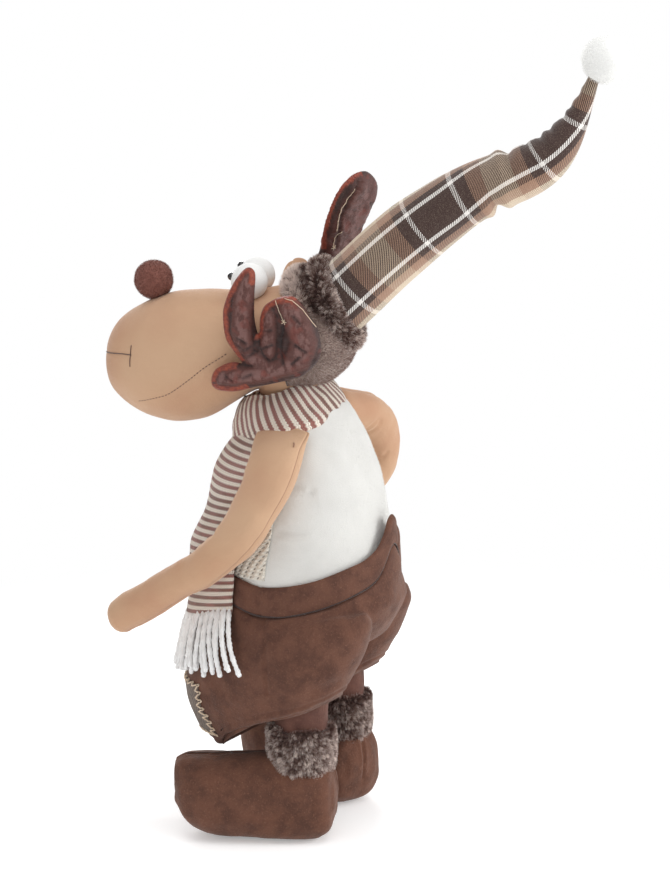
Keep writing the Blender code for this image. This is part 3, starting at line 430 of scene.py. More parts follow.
@dataclass(frozen=True)
class Pile:
    """How the strands of a fur or a plush stand.

    Attributes:
        count: How many strands.
        length: A strand's mean length.
        width: Its width at the root.
        lean: How far it leans the way the pile lies, as a share of its length.
        ruffle: How far chance moves its tip, as a share of its length.
        tuft: How far strands draw together into tufts, from 0 to 1.
        tuft_size: The distance between tufts.
        pale: How much paler a tip is than its root, in steps of tone.
    """

    count: int
    length: float
    width: float
    lean: float = 0.3
    ruffle: float = 0.3
    tuft: float = 0.0
    tuft_size: float = 0.004
    pale: float = 0.6

    def grown(self, name: str, roots: Roots, rng: np.random.Generator) -> bpy.types.Mesh:
        """The strands as thin pointed ribbons.

        Args:
            name: The mesh's name.
            roots: Where they grow.
            rng: The seeded source of chance.

        Returns:
            A mesh with the number "tone" on each point.
        """
        count = len(roots.at)
        length = self.length * (0.55 + 0.75 * rng.random(count))[:, None]
        heading = roots.out + self.lean * roots.lie + self.ruffle * rng.normal(size=(count, 3))
        tone = roots.tone + 0.16 * rng.normal(size=count)
        tip = roots.at + unit(heading) * length
        if self.tuft > 0:
            cell = np.floor(roots.at / self.tuft_size + 0.35 * cloud_vectors(roots.at, self.tuft_size))
            key = cell.astype(np.int64) @ HASH_PRIMES
            _, which = np.unique(key, return_inverse=True)
            size = np.bincount(which)
            middle = np.stack([np.bincount(which, tip[:, k]) / size for k in range(3)], 1)
            tip = tip + (middle[which] - tip) * self.tuft * (0.6 + 0.4 * rng.random((count, 1)))
            tone = tone + 0.20 * rng.normal(size=len(size))[which]
        knee = roots.at + 0.5 * (tip - roots.at) + 0.16 * length * roots.out
        side = unit(np.cross(tip - roots.at, rng.normal(size=(count, 3)))) * self.width / 2
        points = np.stack([roots.at - side, roots.at + side, knee - 0.8 * side, knee + 0.8 * side, tip], 1)
        tones = tone[:, None] + self.pale * np.array([0, 0, 0.45, 0.45, 1.0])
        base = 5 * np.arange(count)[:, None]
        quads = (base + np.array([0, 1, 3, 2])).tolist()
        tips = (base + np.array([2, 3, 4])).tolist()
        tints = {"tone": tones.ravel()}
        return woven_mesh(name, points.reshape(-1, 3), quads + tips, tints=tints, outward=False)


def cloud_vectors(points: np.ndarray, size: float) -> np.ndarray:
    """Three noises at once, as a small push in each direction."""
    return np.stack([cloud(points, size, seed) for seed in (3, 4, 5)], -1)


def yarn_skin(
    path: Rows | np.ndarray, radius: float | np.ndarray, plies: int, twist: float, sides: int
) -> Skin:
    """A round or twisted yarn along a path, with round ends.

    Args:
        path: Its middle line.
        radius: Its radius, or one for each point.
        plies: How many plies show in its section.
        twist: The length of one full turn of the plies; 0 for none.
        sides: Points round it.

    Returns:
        The yarn's skin.
    """
    path = np.array(path, float)
    radius = np.broadcast_to(radius, len(path)).astype(float)
    heading = unit(np.gradient(path, axis=0))
    side = unit(np.cross(heading[0], [0.31, 0.52, 0.79]))
    run = np.concatenate([[0], np.cumsum(np.linalg.norm(np.diff(path, axis=0), axis=1))])
    rows, frames = [], []
    for k in range(len(path)):
        side = unit(side - heading[k] * (side @ heading[k]))
        frames.append((side, np.cross(heading[k], side)))
    turn = turns(sides)
    for k, past, wide in domed(len(path), 3):
        phase = turn - (2 * math.pi * run[k] / twist if twist else 0)
        swell = 1 + (0.16 * np.cos(plies * phase) if plies > 1 else 0 * phase)
        a, b = frames[k]
        centre = path[k] + heading[k] * past * radius[k]
        offset = np.outer(np.cos(turn) * swell, a) + np.outer(np.sin(turn) * swell, b)
        rows.append(centre + radius[k] * wide * offset)
    return Skin(np.array(rows))


@dataclass
class Needlework:
    """Many small yarns or stitches that make one piece."""

    skins: list[Skin] = field(default_factory=list)

    def add(
        self, path: Rows | np.ndarray, radius: float | np.ndarray, plies: int = 1, twist: float = 0.0,
        sides: int = 6,
    ) -> None:
        """Adds one thread along a path."""
        self.skins.append(yarn_skin(path, radius, plies, twist, sides))

    def mesh(self, name: str) -> bpy.types.Mesh:
        """All the threads as one mesh.

        Args:
            name: The mesh's name.

        Returns:
            The mesh.
        """
        points, faces, uv, start = [], [], [], 0
        for skin in self.skins:
            part = skin.mesh(name + "_thread")
            count = len(part.vertices)
            place = np.empty(3 * count)
            part.vertices.foreach_get("co", place)
            points.append(place.reshape(-1, 3))
            faces += [[start + v for v in face.vertices] for face in part.polygons]
            spots = np.empty(2 * len(part.loops))
            part.uv_layers["cloth"].uv.foreach_get("vector", spots)
            uv.append(spots.reshape(-1, 2))
            start += count
            bpy.data.meshes.remove(part)
        return woven_mesh(name, np.vstack(points), faces, np.vstack(uv), outward=False)


# finishes


class Wire:
    """A value between shader nodes, with arithmetic that adds Math nodes."""

    def __init__(self, net: "Net", socket: bpy.types.NodeSocket) -> None:
        """Holds the material's nodes and the socket that gives the value."""
        self.net = net
        self.socket = socket

    def maths(self, operation: str, *others: "Wire | float", clamp: bool = False) -> "Wire":
        """A Math node with this value first.

        Args:
            operation: The node's operation.
            clamp: Whether the result is kept from 0 to 1.
            *others: Its further values.

        Returns:
            The result.
        """
        settings = {"operation": operation, "use_clamp": clamp}
        inputs = {k: value for k, value in enumerate((self, *others))}
        return self.net.node("Math", settings, inputs)

    def __add__(self, other: "Wire | float") -> "Wire":
        """The sum."""
        return self.maths("ADD", other)

    __radd__ = __add__

    def __sub__(self, other: "Wire | float") -> "Wire":
        """The difference."""
        return self.maths("SUBTRACT", other)

    def __rsub__(self, other: float) -> "Wire":
        """The difference from a number."""
        return self.net.node("Math", {"operation": "SUBTRACT"}, {0: other, 1: self})

    def __mul__(self, other: "Wire | float") -> "Wire":
        """The product."""
        return self.maths("MULTIPLY", other)

    __rmul__ = __mul__

    def __pow__(self, other: "Wire | float") -> "Wire":
        """The power."""
        return self.maths("POWER", other)

    def __abs__(self) -> "Wire":
        """The size without its sign."""
        return self.maths("ABSOLUTE")

    def fraction(self) -> "Wire":
        """What is left of the value beyond a whole number."""
        return self.maths("FRACT")

    def sine(self) -> "Wire":
        """The sine of the value in radians."""
        return self.maths("SINE")

    def held(self) -> "Wire":
        """The value kept between 0 and 1."""
        return self.maths("ADD", 0.0, clamp=True)

    def eased(self, low: float, high: float) -> "Wire":
        """A smooth step from 0 at low to 1 at high."""
        settings = {"interpolation_type": "SMOOTHSTEP"}
        return self.net.node("MapRange", settings, {0: self, 1: low, 2: high, 3: 0.0, 4: 1.0})


class Net:
    """The nodes of one cloth's material."""

    def __init__(self, name: str) -> None:
        """Makes the material, with its Principled shader."""
        self.material = bpy.data.materials.new(name)
        self.material.use_nodes = True
        self.tree = self.material.node_tree
        self.shader = self.tree.nodes["Principled BSDF"]

    def node(
        self, kind: str, settings: dict | None = None, inputs: dict | None = None, out: str | int = 0
    ) -> Wire:
        """Adds a node.

        Args:
            kind: The node's type without its "ShaderNode".
            settings: Its properties, set first; "stops" gives a ramp's places and colours.
            inputs: Values or wires for its sockets, by name or number.
            out: The socket to return.

        Returns:
            The wire from that socket.
        """
        made = self.tree.nodes.new("ShaderNode" + kind)
        for key, value in (settings or {}).items():
            if key == "stops":
                ramp = made.color_ramp
                while len(ramp.elements) < len(value):
                    ramp.elements.new(1.0)
                for element, (at, colour) in zip(ramp.elements, value):
                    element.position = at
                    element.color = (*colour, 1.0)
            elif key == "blend":
                made.color_ramp.interpolation = value
            else:
                setattr(made, key, value)
        for key, value in (inputs or {}).items():
            self.feed(made.inputs[key], value)
        return Wire(self, made.outputs[out])

    def feed(self, socket: bpy.types.NodeSocket, value: object) -> None:
        """Sets a socket to a value, or links it to a wire.

        Args:
            socket: The socket.
            value: A wire, a number, a colour or a vector.
        """
        if isinstance(value, Wire):
            self.tree.links.new(value.socket, socket)
        elif isinstance(value, tuple) and len(value) == 3 and socket.type == "RGBA":
            socket.default_value = (*value, 1.0)
        else:
            socket.default_value = value

    def set(self, **sockets: object) -> bpy.types.Material:
        """Feeds the Principled shader's sockets, with _ for spaces, and returns the material.

        Args:
            **sockets: Values or wires by the sockets' names.

        Returns:
            The material.
        """
        for key, value in sockets.items():
            self.feed(self.shader.inputs[key.replace("_", " ")], value)
        return self.material

    def place(self) -> Wire:
        """The place on the toy in metres."""
        return self.node("TexCoord", out="Object")

    def cloth(self) -> tuple[Wire, Wire]:
        """Metres across and along the cloth, from its map."""
        across = self.node("SeparateXYZ", inputs={0: self.node("UVMap", {"uv_map": "cloth"})})
        return across, Wire(self, across.socket.node.outputs[1])

    def number(self, name: str) -> Wire:
        """A number that the mesh holds at each point."""
        return self.node("Attribute", {"attribute_name": name}, out="Fac")

    def noise(
        self, per_metre: float, detail: float = 3.0, vector: Wire | None = None, rough: float = 0.55
    ) -> Wire:
        """Cloudy noise about 0.5."""
        inputs = {"Vector": vector or self.place(), "Scale": per_metre, "Detail": detail, "Roughness": rough}
        return self.node("TexNoise", inputs=inputs, out="Fac")

    def stretched(self, vector: Wire, by: tuple[float, float, float]) -> Wire:
        """A vector scaled by axis."""
        return self.node("Mapping", {"vector_type": "POINT"}, {"Vector": vector, "Scale": by})

    def blend(self, mask: Wire | float, under: Wire | Colour, over: Wire | Colour) -> Wire:
        """One colour over another by a mask."""
        return self.node("Mix", {"data_type": "RGBA"}, {0: mask, 6: under, 7: over}, out=2)

    def ramp(self, value: Wire, stops: Sequence[tuple[float, Colour]], blend: str = "LINEAR") -> Wire:
        """A colour for each value from 0 to 1."""
        return self.node("ValToRGB", {"stops": stops, "blend": blend}, {0: value})

    def bump(self, height: Wire, depth: float, under: Wire | None = None) -> Wire:
        """A surface normal from a height, which depth in metres scales.

        Args:
            height: The height.
            depth: How far a height of 1 stands up.
            under: A coarser bump below it.

        Returns:
            The normal.
        """
        inputs = {"Height": height, "Distance": depth, "Strength": 1.0}
        if under is not None:
            inputs["Normal"] = under
        return self.node("Bump", inputs=inputs)


@dataclass(frozen=True)
class Finish:
    """A cloth's looks. Each kind makes its material once."""

    name: str

    def made(self) -> bpy.types.Material:
        """The finish's material, made the first time it is wanted."""
        label = self.name + "_finish"
        return bpy.data.materials.get(label) or self.dress(Net(label))

    def dress(self, net: Net) -> bpy.types.Material:
        """Fills in the material."""
        raise NotImplementedError


@dataclass(frozen=True)
class Brushed(Finish):
    """Brushed cotton that looks like suede: soft clouds of tone, a fine nap, and sheen."""

    colour: Colour = dye(194, 154, 122)
    worn: Colour = dye(205, 170, 139)
    blush: Colour = dye(187, 142, 112)
    nap: float = 0.00016
    sheen: float = 0.22

    def dress(self, net: Net) -> bpy.types.Material:
        """Clouds of tone under a nap of two sizes.

        Args:
            net: The material to fill.

        Returns:
            The material.
        """
        clouds = net.noise(24, 2)
        colour = net.blend(clouds.eased(0.35, 0.72), self.colour, self.blush)
        colour = net.blend(net.noise(9, 1).eased(0.45, 0.75) * 0.7, colour, self.worn)
        fibres = net.noise(2600, 2)
        colour = net.blend((fibres - 0.5) * 0.5 + 0.12, colour, self.worn)
        rumple = net.bump(net.noise(60, 3), 0.0012)
        normal = net.bump(fibres + 0.6 * net.noise(900, 2), self.nap, rumple)
        return net.set(
            Base_Color=colour, Roughness=0.86, Normal=normal,
            Sheen_Weight=self.sheen, Sheen_Roughness=0.45, Sheen_Tint=(1.0, 0.95, 0.9),
        )


@dataclass(frozen=True)
class Felt(Finish):
    """Pressed wool felt, mottled with darker and redder fibres."""

    colour: Colour = dye(104, 68, 53)
    dark: Colour = dye(80, 50, 39)
    light: Colour = dye(132, 92, 73)
    sheen: float = 0.16

    def dress(self, net: Net) -> bpy.types.Material:
        """Blotches of two sizes, short fibres and a matted bump.

        Args:
            net: The material to fill.

        Returns:
            The material.
        """
        place = net.place()
        blotch = net.noise(70, 5, place, 0.62)
        colour = net.blend(blotch.eased(0.28, 0.66), self.dark, self.colour)
        lint = net.noise(700, 4, place, 0.7)
        colour = net.blend(lint.eased(0.52, 0.78) * 0.75, colour, self.light)
        colour = net.blend(net.noise(420, 3, place, 0.7).eased(0.55, 0.75) * 0.5, colour, self.dark)
        fibre = net.node("TexVoronoi", {"feature": "F1"}, {"Vector": place, "Scale": 900.0})
        normal = net.bump(lint + 0.5 * fibre, 0.00035, net.bump(net.noise(110, 4), 0.0008))
        return net.set(
            Base_Color=colour, Roughness=0.95, Normal=normal,
            Sheen_Weight=self.sheen, Sheen_Roughness=0.4, Sheen_Tint=(1.0, 0.86, 0.78),
        )


@dataclass(frozen=True)
class Velvet(Finish):
    """Velvet: painted shade in the depths between its tubes, a mauve grey painted highlight in streaks where
    the pile lies over the tubes' tops, and a rust rim whose orange is partly painted backlight.
    """

    # The deep colour is painted shade between the tubes, and the mauve grey a painted highlight on them.
    deep: Colour = dye(48, 24, 20)
    brown: Colour = dye(89, 46, 38)
    painted_highlight: Colour = dye(120, 84, 79)
    rust: Colour = dye(118, 48, 35)
    rim: Colour = dye(146, 65, 42)

    def dress(self, net: Net) -> bpy.types.Material:
        """Painted shade and a streaked painted highlight from the number "plump", rust where it is worn,
        painted shade from "crease", and the rim from the number "rim".

        Args:
            net: The material to fill.

        Returns:
            The material.
        """
        place = net.place()
        plump = net.number("plump")
        streak = net.noise(190, 3, net.stretched(place, (1.0, 1.3, 0.7)), 0.6)
        # Painted shade: darker where the tubes are less full, with a little random streaking.
        depth = (plump.eased(0.10, 0.80) * 0.8 + streak.eased(0.4, 0.6) * 0.2).held()
        colour = net.blend(depth, self.deep, self.brown)
        # Painted highlight: mauve grey streaks on the fullest tops of the tubes.
        colour = net.blend(plump.eased(0.72, 0.98) * streak.eased(0.40, 0.58) * 0.85, colour, self.painted_highlight)
        colour = net.blend(net.noise(75, 2, place).eased(0.55, 0.68) * 0.55, colour, self.rust)
        nap = net.noise(1500, 2, place)
        # The rim: rust cloth at the edge, its orange partly painted backlight glowing through the thin edge.
        rim = net.blend(net.noise(420, 3, place).eased(0.36, 0.60), self.rust, self.rim)
        colour = net.blend(net.number("rim"), colour, rim)
        # Painted shade in the folds and along the rim's inner seam.
        colour = net.blend(net.number("crease") * 0.85, colour, dye(36, 20, 20))
        wrinkle = net.bump(net.noise(330, 3, net.stretched(place, (1.0, 0.5, 2.2))), 0.0009)
        normal = net.bump(nap, 0.0003, wrinkle)
        return net.set(
            Base_Color=colour, Roughness=0.52, Normal=normal,
            Sheen_Weight=0.10, Sheen_Roughness=0.4, Sheen_Tint=(0.95, 0.85, 0.85),
        )


@dataclass(frozen=True)
class Fur(Finish):
    """Strands that run from dark roots to pale tips by the number "tone"."""

    dark: Colour = dye(60, 36, 31)
    middle: Colour = dye(128, 94, 83)
    pale: Colour = dye(246, 232, 224)

    def dress(self, net: Net) -> bpy.types.Material:
        """A ramp of three tones with a soft gloss.

        Args:
            net: The material to fill.

        Returns:
            The material.
        """
        tone = net.number("tone")
        fleck = (net.noise(700, 2) - 0.5) * 0.25
        stops = ((0.0, self.dark), (0.45, self.middle), (1.0, self.pale))
        return net.set(Base_Color=net.ramp((tone + fleck).held(), stops), Roughness=0.7)


@dataclass(frozen=True)
class Plush(Finish):
    """The ground of a fur or a pompom: matted fibre of two tones."""

    colour: Colour = dye(232, 231, 227)
    shade: Colour = dye(205, 203, 198)
    grain: float = 500.0
    depth: float = 0.0008
    sheen: float = 0.2

    def dress(self, net: Net) -> bpy.types.Material:
        """Fibres as noise over a mat of cells.

        Args:
            net: The material to fill.

        Returns:
            The material.
        """
        place = net.place()
        fibre = net.noise(self.grain, 4, place, 0.7)
        colour = net.blend(fibre.eased(0.30, 0.62), self.shade, self.colour)
        mat = net.noise(self.grain / 3, 3, place)
        normal = net.bump(fibre + mat, self.depth)
        return net.set(
            Base_Color=colour, Roughness=0.95, Normal=normal,
            Sheen_Weight=self.sheen, Sheen_Roughness=0.5,
        )


@dataclass(frozen=True)
class Jersey(Finish):
    """Fine white jersey with a short fleece: faint ribs of loops and a soft bloom."""

    colour: Colour = dye(226, 225, 221)
    shade: Colour = dye(212, 211, 207)
    loop: float = 0.0011

    def dress(self, net: Net) -> bpy.types.Material:
        """Loops in rows, blurred by fleece.

        Args:
            net: The material to fill.

        Returns:
            The material.
        """
        across, along = net.cloth()
        loops = (across * (math.tau / self.loop)).sine() * (along * (math.tau / self.loop)).sine()
        fleece = net.noise(1300, 3)
        colour = net.blend((net.noise(30, 2).eased(0.35, 0.7) * 0.5).held(), self.colour, self.shade)
        colour = net.blend(fleece.eased(0.3, 0.5) * -0.35 + 0.35, colour, self.shade)
        normal = net.bump(fleece + 0.3 * loops, 0.0003, net.bump(net.noise(45, 2), 0.0012))
        return net.set(
            Base_Color=colour, Roughness=0.95, Normal=normal,
            Sheen_Weight=0.35, Sheen_Roughness=0.5,
        )


@dataclass(frozen=True)
class Eyelets(Finish):
    """Cream knitting with columns of small holes between ribs."""

    colour: Colour = dye(238, 232, 220)
    shade: Colour = dye(212, 202, 186)
    hole_shade: Colour = dye(160, 146, 130)
    rib: float = 0.0062
    row: float = 0.0034

    def dress(self, net: Net) -> bpy.types.Material:
        """Ribs across, stitches along, and an eyelet darkened by painted shade in each stitch of every second
        rib.

        Args:
            net: The material to fill.

        Returns:
            The material.
        """
        across, along = net.cloth()
        rib = (across * (1 / self.rib)).fraction()
        stitch = (along * (1 / self.row)).fraction()
        dx, dy = rib - 0.5, stitch - 0.5
        spot = 1 - ((dx * dx * 16.0 + dy * dy * 3.2) ** 0.5).eased(0.28, 0.62)
        vee = abs((stitch + abs(dx) * 1.2).fraction() - 0.5).eased(0.0, 0.5)
        height = abs(dx).eased(0.05, 0.45) * 0.7 + vee * 0.4 - spot * 0.9
        colour = net.blend(vee * 0.45, self.colour, self.shade)
        # Painted shade inside each eyelet.
        colour = net.blend(spot * 0.85, colour, self.hole_shade)
        normal = net.bump(height, 0.0013, net.bump(net.noise(900, 2), 0.0002))
        return net.set(
            Base_Color=colour, Roughness=0.92, Normal=normal,
            Sheen_Weight=0.3, Sheen_Roughness=0.5,
        )


@dataclass(frozen=True)
class Knitting(Finish):
    """Stocking stitch in narrow stripes: two rows brown and two rows cream.

    Attributes:
        stripe: The pitch of a pair of stripes along the cloth.
        stitch: A stitch's width across the cloth.
        slant: How far the stripes lean, as metres along for each metre across.
    """

    brown: Colour = dye(164, 106, 95)
    cocoa: Colour = dye(137, 93, 77)
    cream: Colour = dye(254, 243, 229)
    stripe: float = 0.0059
    stitch: float = 0.0021
    slant: float = 0.0
    sideways: bool = False

    def dress(self, net: Net) -> bpy.types.Material:
        """Two legs of each stitch that lean together, coloured by row.

        Args:
            net: The material to fill.

        Returns:
            The material.
        """
        across, along = net.cloth()
        if self.sideways:
            across, along = along, across
        side = abs((across * (1 / self.stitch)).fraction() - 0.5)
        row = self.stripe / 4
        lifted = along + across * self.slant + side * (row * 1.15)
        pair = (lifted * (1 / self.stripe)).fraction()
        leg = (lifted * (1 / row)).fraction()
        stripes = (abs(pair - 0.5) * 4 - 1).eased(-0.18, 0.18)
        yarn = net.blend(net.noise(55, 2).eased(0.42, 0.6), self.brown, self.cocoa)
        colour = net.blend(stripes, yarn, self.cream)
        bulge = 1 - abs(leg - 0.5) * 2
        hollow = (0.14 - side).eased(0.0, 0.14)
        dips = (side - 0.36).eased(0.0, 0.14)
        height = bulge * 0.55 + (1 - hollow * 0.8) * 0.5 + (1 - dips * 0.7) * 0.4
        shade = (1 - bulge).eased(0.35, 1.0) * 0.14 + hollow * 0.16 + dips * 0.10
        colour = net.blend(shade.held(), colour, dye(84, 58, 50))
        fibre = net.noise(2400, 2)
        normal = net.bump(fibre, 0.00015, net.bump(height, 0.0009))
        return net.set(
            Base_Color=colour, Roughness=0.92, Normal=normal,
            Sheen_Weight=0.35, Sheen_Roughness=0.5,
        )


@dataclass(frozen=True)
class Sett:
    """The stripes of a checked cloth in one direction: widths in metres with their colours."""

    stripes: tuple[tuple[float, Colour], ...]

    def period(self) -> float:
        """The length after which the stripes come again."""
        return sum(width for width, _ in self.stripes)

    def stops(self) -> list[tuple[float, Colour]]:
        """The stripes as stops of a ramp over one period.

        Returns:
            Places from 0 to 1 with their colours.
        """
        at, out = 0.0, []
        for width, colour in self.stripes:
            out.append((at / self.period(), colour))
            at += width
        return out


WHITE, UMBER, SAND = dye(242, 238, 233), dye(62, 41, 36), dye(164, 128, 106)
OAT, STRAW = dye(226, 208, 182), dye(196, 174, 150)


@dataclass(frozen=True)
class CheckedTwill(Finish):
    """Checked twill: warp and weft stripes that show through each other along the diagonal.

    Attributes:
        warp: Stripes that run the length of the hat, from the middle of a dark band.
        weft: Stripes that run round it.
        twill: The pitch of the twill's diagonal.
    """

    warp: Sett = Sett((
        (0.0120, UMBER), (0.0030, WHITE), (0.0052, UMBER), (0.0085, SAND), (0.0160, OAT),
        (0.0085, SAND), (0.0052, UMBER), (0.0030, WHITE), (0.0120, UMBER),
    ))
    weft: Sett = Sett((
        (0.0340, UMBER), (0.0036, WHITE), (0.0085, UMBER), (0.0120, SAND), (0.0230, STRAW),
        (0.0120, SAND), (0.0085, UMBER), (0.0036, WHITE),
    ))
    twill: float = 0.0019
    start: float = 0.0875

    def dress(self, net: Net) -> bpy.types.Material:
        """A ramp for each direction, and the twill's mask between them.

        Args:
            net: The material to fill.

        Returns:
            The material.
        """
        across, along = net.cloth()
        warp = net.ramp(((across * (1 / self.warp.period())) + 10).fraction(), self.warp.stops(), "CONSTANT")
        shifted = (along + (self.weft.period() - self.start)) * (1 / self.weft.period())
        weft = net.ramp(shifted.fraction(), self.weft.stops(), "CONSTANT")
        rib = ((across + along) * (1 / self.twill)).fraction()
        cross = (across * (2 / self.twill)).fraction()
        over = (abs(rib - 0.5) + 0.30 * (abs(cross - 0.5) - 0.25)).eased(0.285, 0.355)
        colour = net.blend(over, warp, weft)
        colour = net.blend((net.noise(1500, 2) - 0.5).held() * 0.6, colour, OAT)
        height = abs(rib - 0.5) * 2 + abs(cross - 0.5)
        normal = net.bump(height, 0.00022, net.bump(net.noise(70, 3), 0.0010))
        return net.set(
            Base_Color=colour, Roughness=0.85, Normal=normal,
            Sheen_Weight=0.3, Sheen_Roughness=0.45,
        )


@dataclass(frozen=True)
class Tweed(Finish):
    """Grey tweed: a coarse plain weave with flecks."""

    dark: Colour = dye(68, 54, 47)
    light: Colour = dye(142, 124, 110)
    pitch: float = 0.0013

    def dress(self, net: Net) -> bpy.types.Material:
        """Threads over and under, in two greys.

        Args:
            net: The material to fill.

        Returns:
            The material.
        """
        across, along = net.cloth()
        u, v = across * (1 / self.pitch), along * (1 / self.pitch)
        over = ((u * math.pi).sine() * (v * math.pi).sine()).eased(-0.25, 0.25)
        fleck = net.noise(600, 3)
        colour = net.blend((over * 0.6 + (fleck - 0.3)).held(), self.dark, self.light)
        height = abs((u * math.pi).sine()) * over + abs((v * math.pi).sine()) * (1 - over)
        normal = net.bump(height + 0.6 * fleck, 0.0005)
        return net.set(Base_Color=colour, Roughness=0.95, Normal=normal, Sheen_Weight=0.2)


@dataclass(frozen=True)
class SpunYarn(Finish):
    """Soft spun yarn or sewing thread, with its fibres laid round it."""

    colour: Colour = dye(255, 255, 255)
    shade: Colour = dye(246, 245, 241)
    ply: float = 0.0016

    def dress(self, net: Net) -> bpy.types.Material:
        """Slanted fibres over the length.

        Args:
            net: The material to fill.

        Returns:
            The material.
        """
        across, along = net.cloth()
        fibre = ((along + across * 1.1) * (1 / self.ply)).fraction()
        groove = abs(fibre - 0.5) * 2
        lint = net.noise(2200, 3)
        colour = net.blend((groove ** 3.0) * 0.5 + (0.5 - lint).held() * 0.8, self.colour, self.shade)
        normal = net.bump((1 - groove) * 0.6 + lint, 0.00035)
        return net.set(
            Base_Color=colour, Roughness=0.9, Normal=normal,
            Sheen_Weight=0.35, Sheen_Roughness=0.5,
        )


@dataclass(frozen=True)
class Bead(Finish):
    """A small glossy bead."""

    colour: Colour = dye(24, 22, 24)

    def dress(self, net: Net) -> bpy.types.Material:
        """Nearly black gloss with faint scuffs.

        Args:
            net: The material to fill.

        Returns:
            The material.
        """
        scuff = net.noise(900, 2) * 0.12 + 0.12
        shade = net.blend(net.noise(300, 2), self.colour, dye(44, 40, 42))
        return net.set(Base_Color=shade, Roughness=scuff, Coat_Weight=0.6, Coat_Roughness=0.08)


@dataclass(frozen=True)
class SoleSkin(Finish):
    """Thin dark sole cloth with a fine grain."""

    colour: Colour = dye(46, 33, 29)

    def dress(self, net: Net) -> bpy.types.Material:
        """Grain cells and scuffed patches.

        Args:
            net: The material to fill.

        Returns:
            The material.
        """
        inputs = {"Vector": net.place(), "Scale": 700.0}
        grain = net.node("TexVoronoi", {"feature": "DISTANCE_TO_EDGE"}, inputs)
        colour = net.blend(net.noise(120, 3).eased(0.45, 0.7) * 0.6, self.colour, dye(78, 60, 52))
        return net.set(Base_Color=colour, Roughness=0.75, Normal=net.bump(grain, 0.0003))


THREAD_PLY = 0.0008
TAN = Brushed("tan_suede")
TROUSER_FELT = Felt("brown_felt")
BOOT_FELT = Felt("boot_felt", dye(103, 66, 50), dye(79, 49, 37), dye(135, 94, 74))
LEG_CLOTH = Felt("leg_cloth", dye(104, 68, 57), dye(84, 53, 45), dye(128, 90, 76), 0.1)
ANTLER_VELVET = Velvet("antler_velvet")
FUR = Fur("brown_fur")
FUR_GROUND = Plush("fur_ground", dye(112, 92, 84), dye(66, 48, 43), 420.0)
LINING = Plush("lining_pile", dye(152, 134, 124), dye(96, 78, 71), 650.0, 0.0006)
FLEECE_PILE = Fur("fleece_pile", dye(226, 226, 223), dye(234, 234, 231), dye(242, 242, 240))
WHITE_PILE = Fur("white_pile", dye(240, 240, 237), dye(248, 248, 246), dye(252, 252, 251))
SOFT_BALL = Plush("soft_ball", dye(242, 242, 240), dye(234, 234, 232), 1200.0, 0.00012)
NOSE_GROUND = Plush("nose_felt", dye(142, 92, 80), dye(126, 78, 68), 900.0, 0.0003)
NOSE_PILE = Fur("nose_pile", dye(130, 82, 71), dye(146, 96, 84), dye(186, 140, 124))
FLEECE = Jersey("white_fleece")
EYELETS = Eyelets("cream_knit")
SCARF_KNIT = Knitting("scarf_knit")
WRAP_KNIT = Knitting("wrap_knit", stripe=0.0062, slant=-0.32, sideways=True)
PLAID = CheckedTwill("hat_plaid")
TWEED = Tweed("tweed_patch")
YARN = SpunYarn("white_yarn")
BROWN_THREAD = SpunYarn("brown_thread", dye(96, 62, 44), dye(64, 40, 28), THREAD_PLY)
CREAM_THREAD = SpunYarn("cream_thread", dye(240, 216, 188), dye(204, 176, 146), THREAD_PLY)
SEAM_TAN = SpunYarn("seam_tan", dye(158, 112, 82), dye(128, 88, 62), THREAD_PLY)
SEAM_BROWN = SpunYarn("seam_brown", dye(62, 40, 33), dye(44, 28, 23), THREAD_PLY)
BEAD = Bead("bead")
SOLE = SoleSkin("boot_sole")


# the bench


MM = 0.001


def linked(name: str, data: bpy.types.ID) -> bpy.types.Object:
    """An object made from its data and put in the scene.

    Args:
        name: The object's name.
        data: Its mesh, light or camera.

    Returns:
        The object.
    """
    made = bpy.data.objects.new(name, data)
    bpy.context.scene.collection.objects.link(made)
    return made


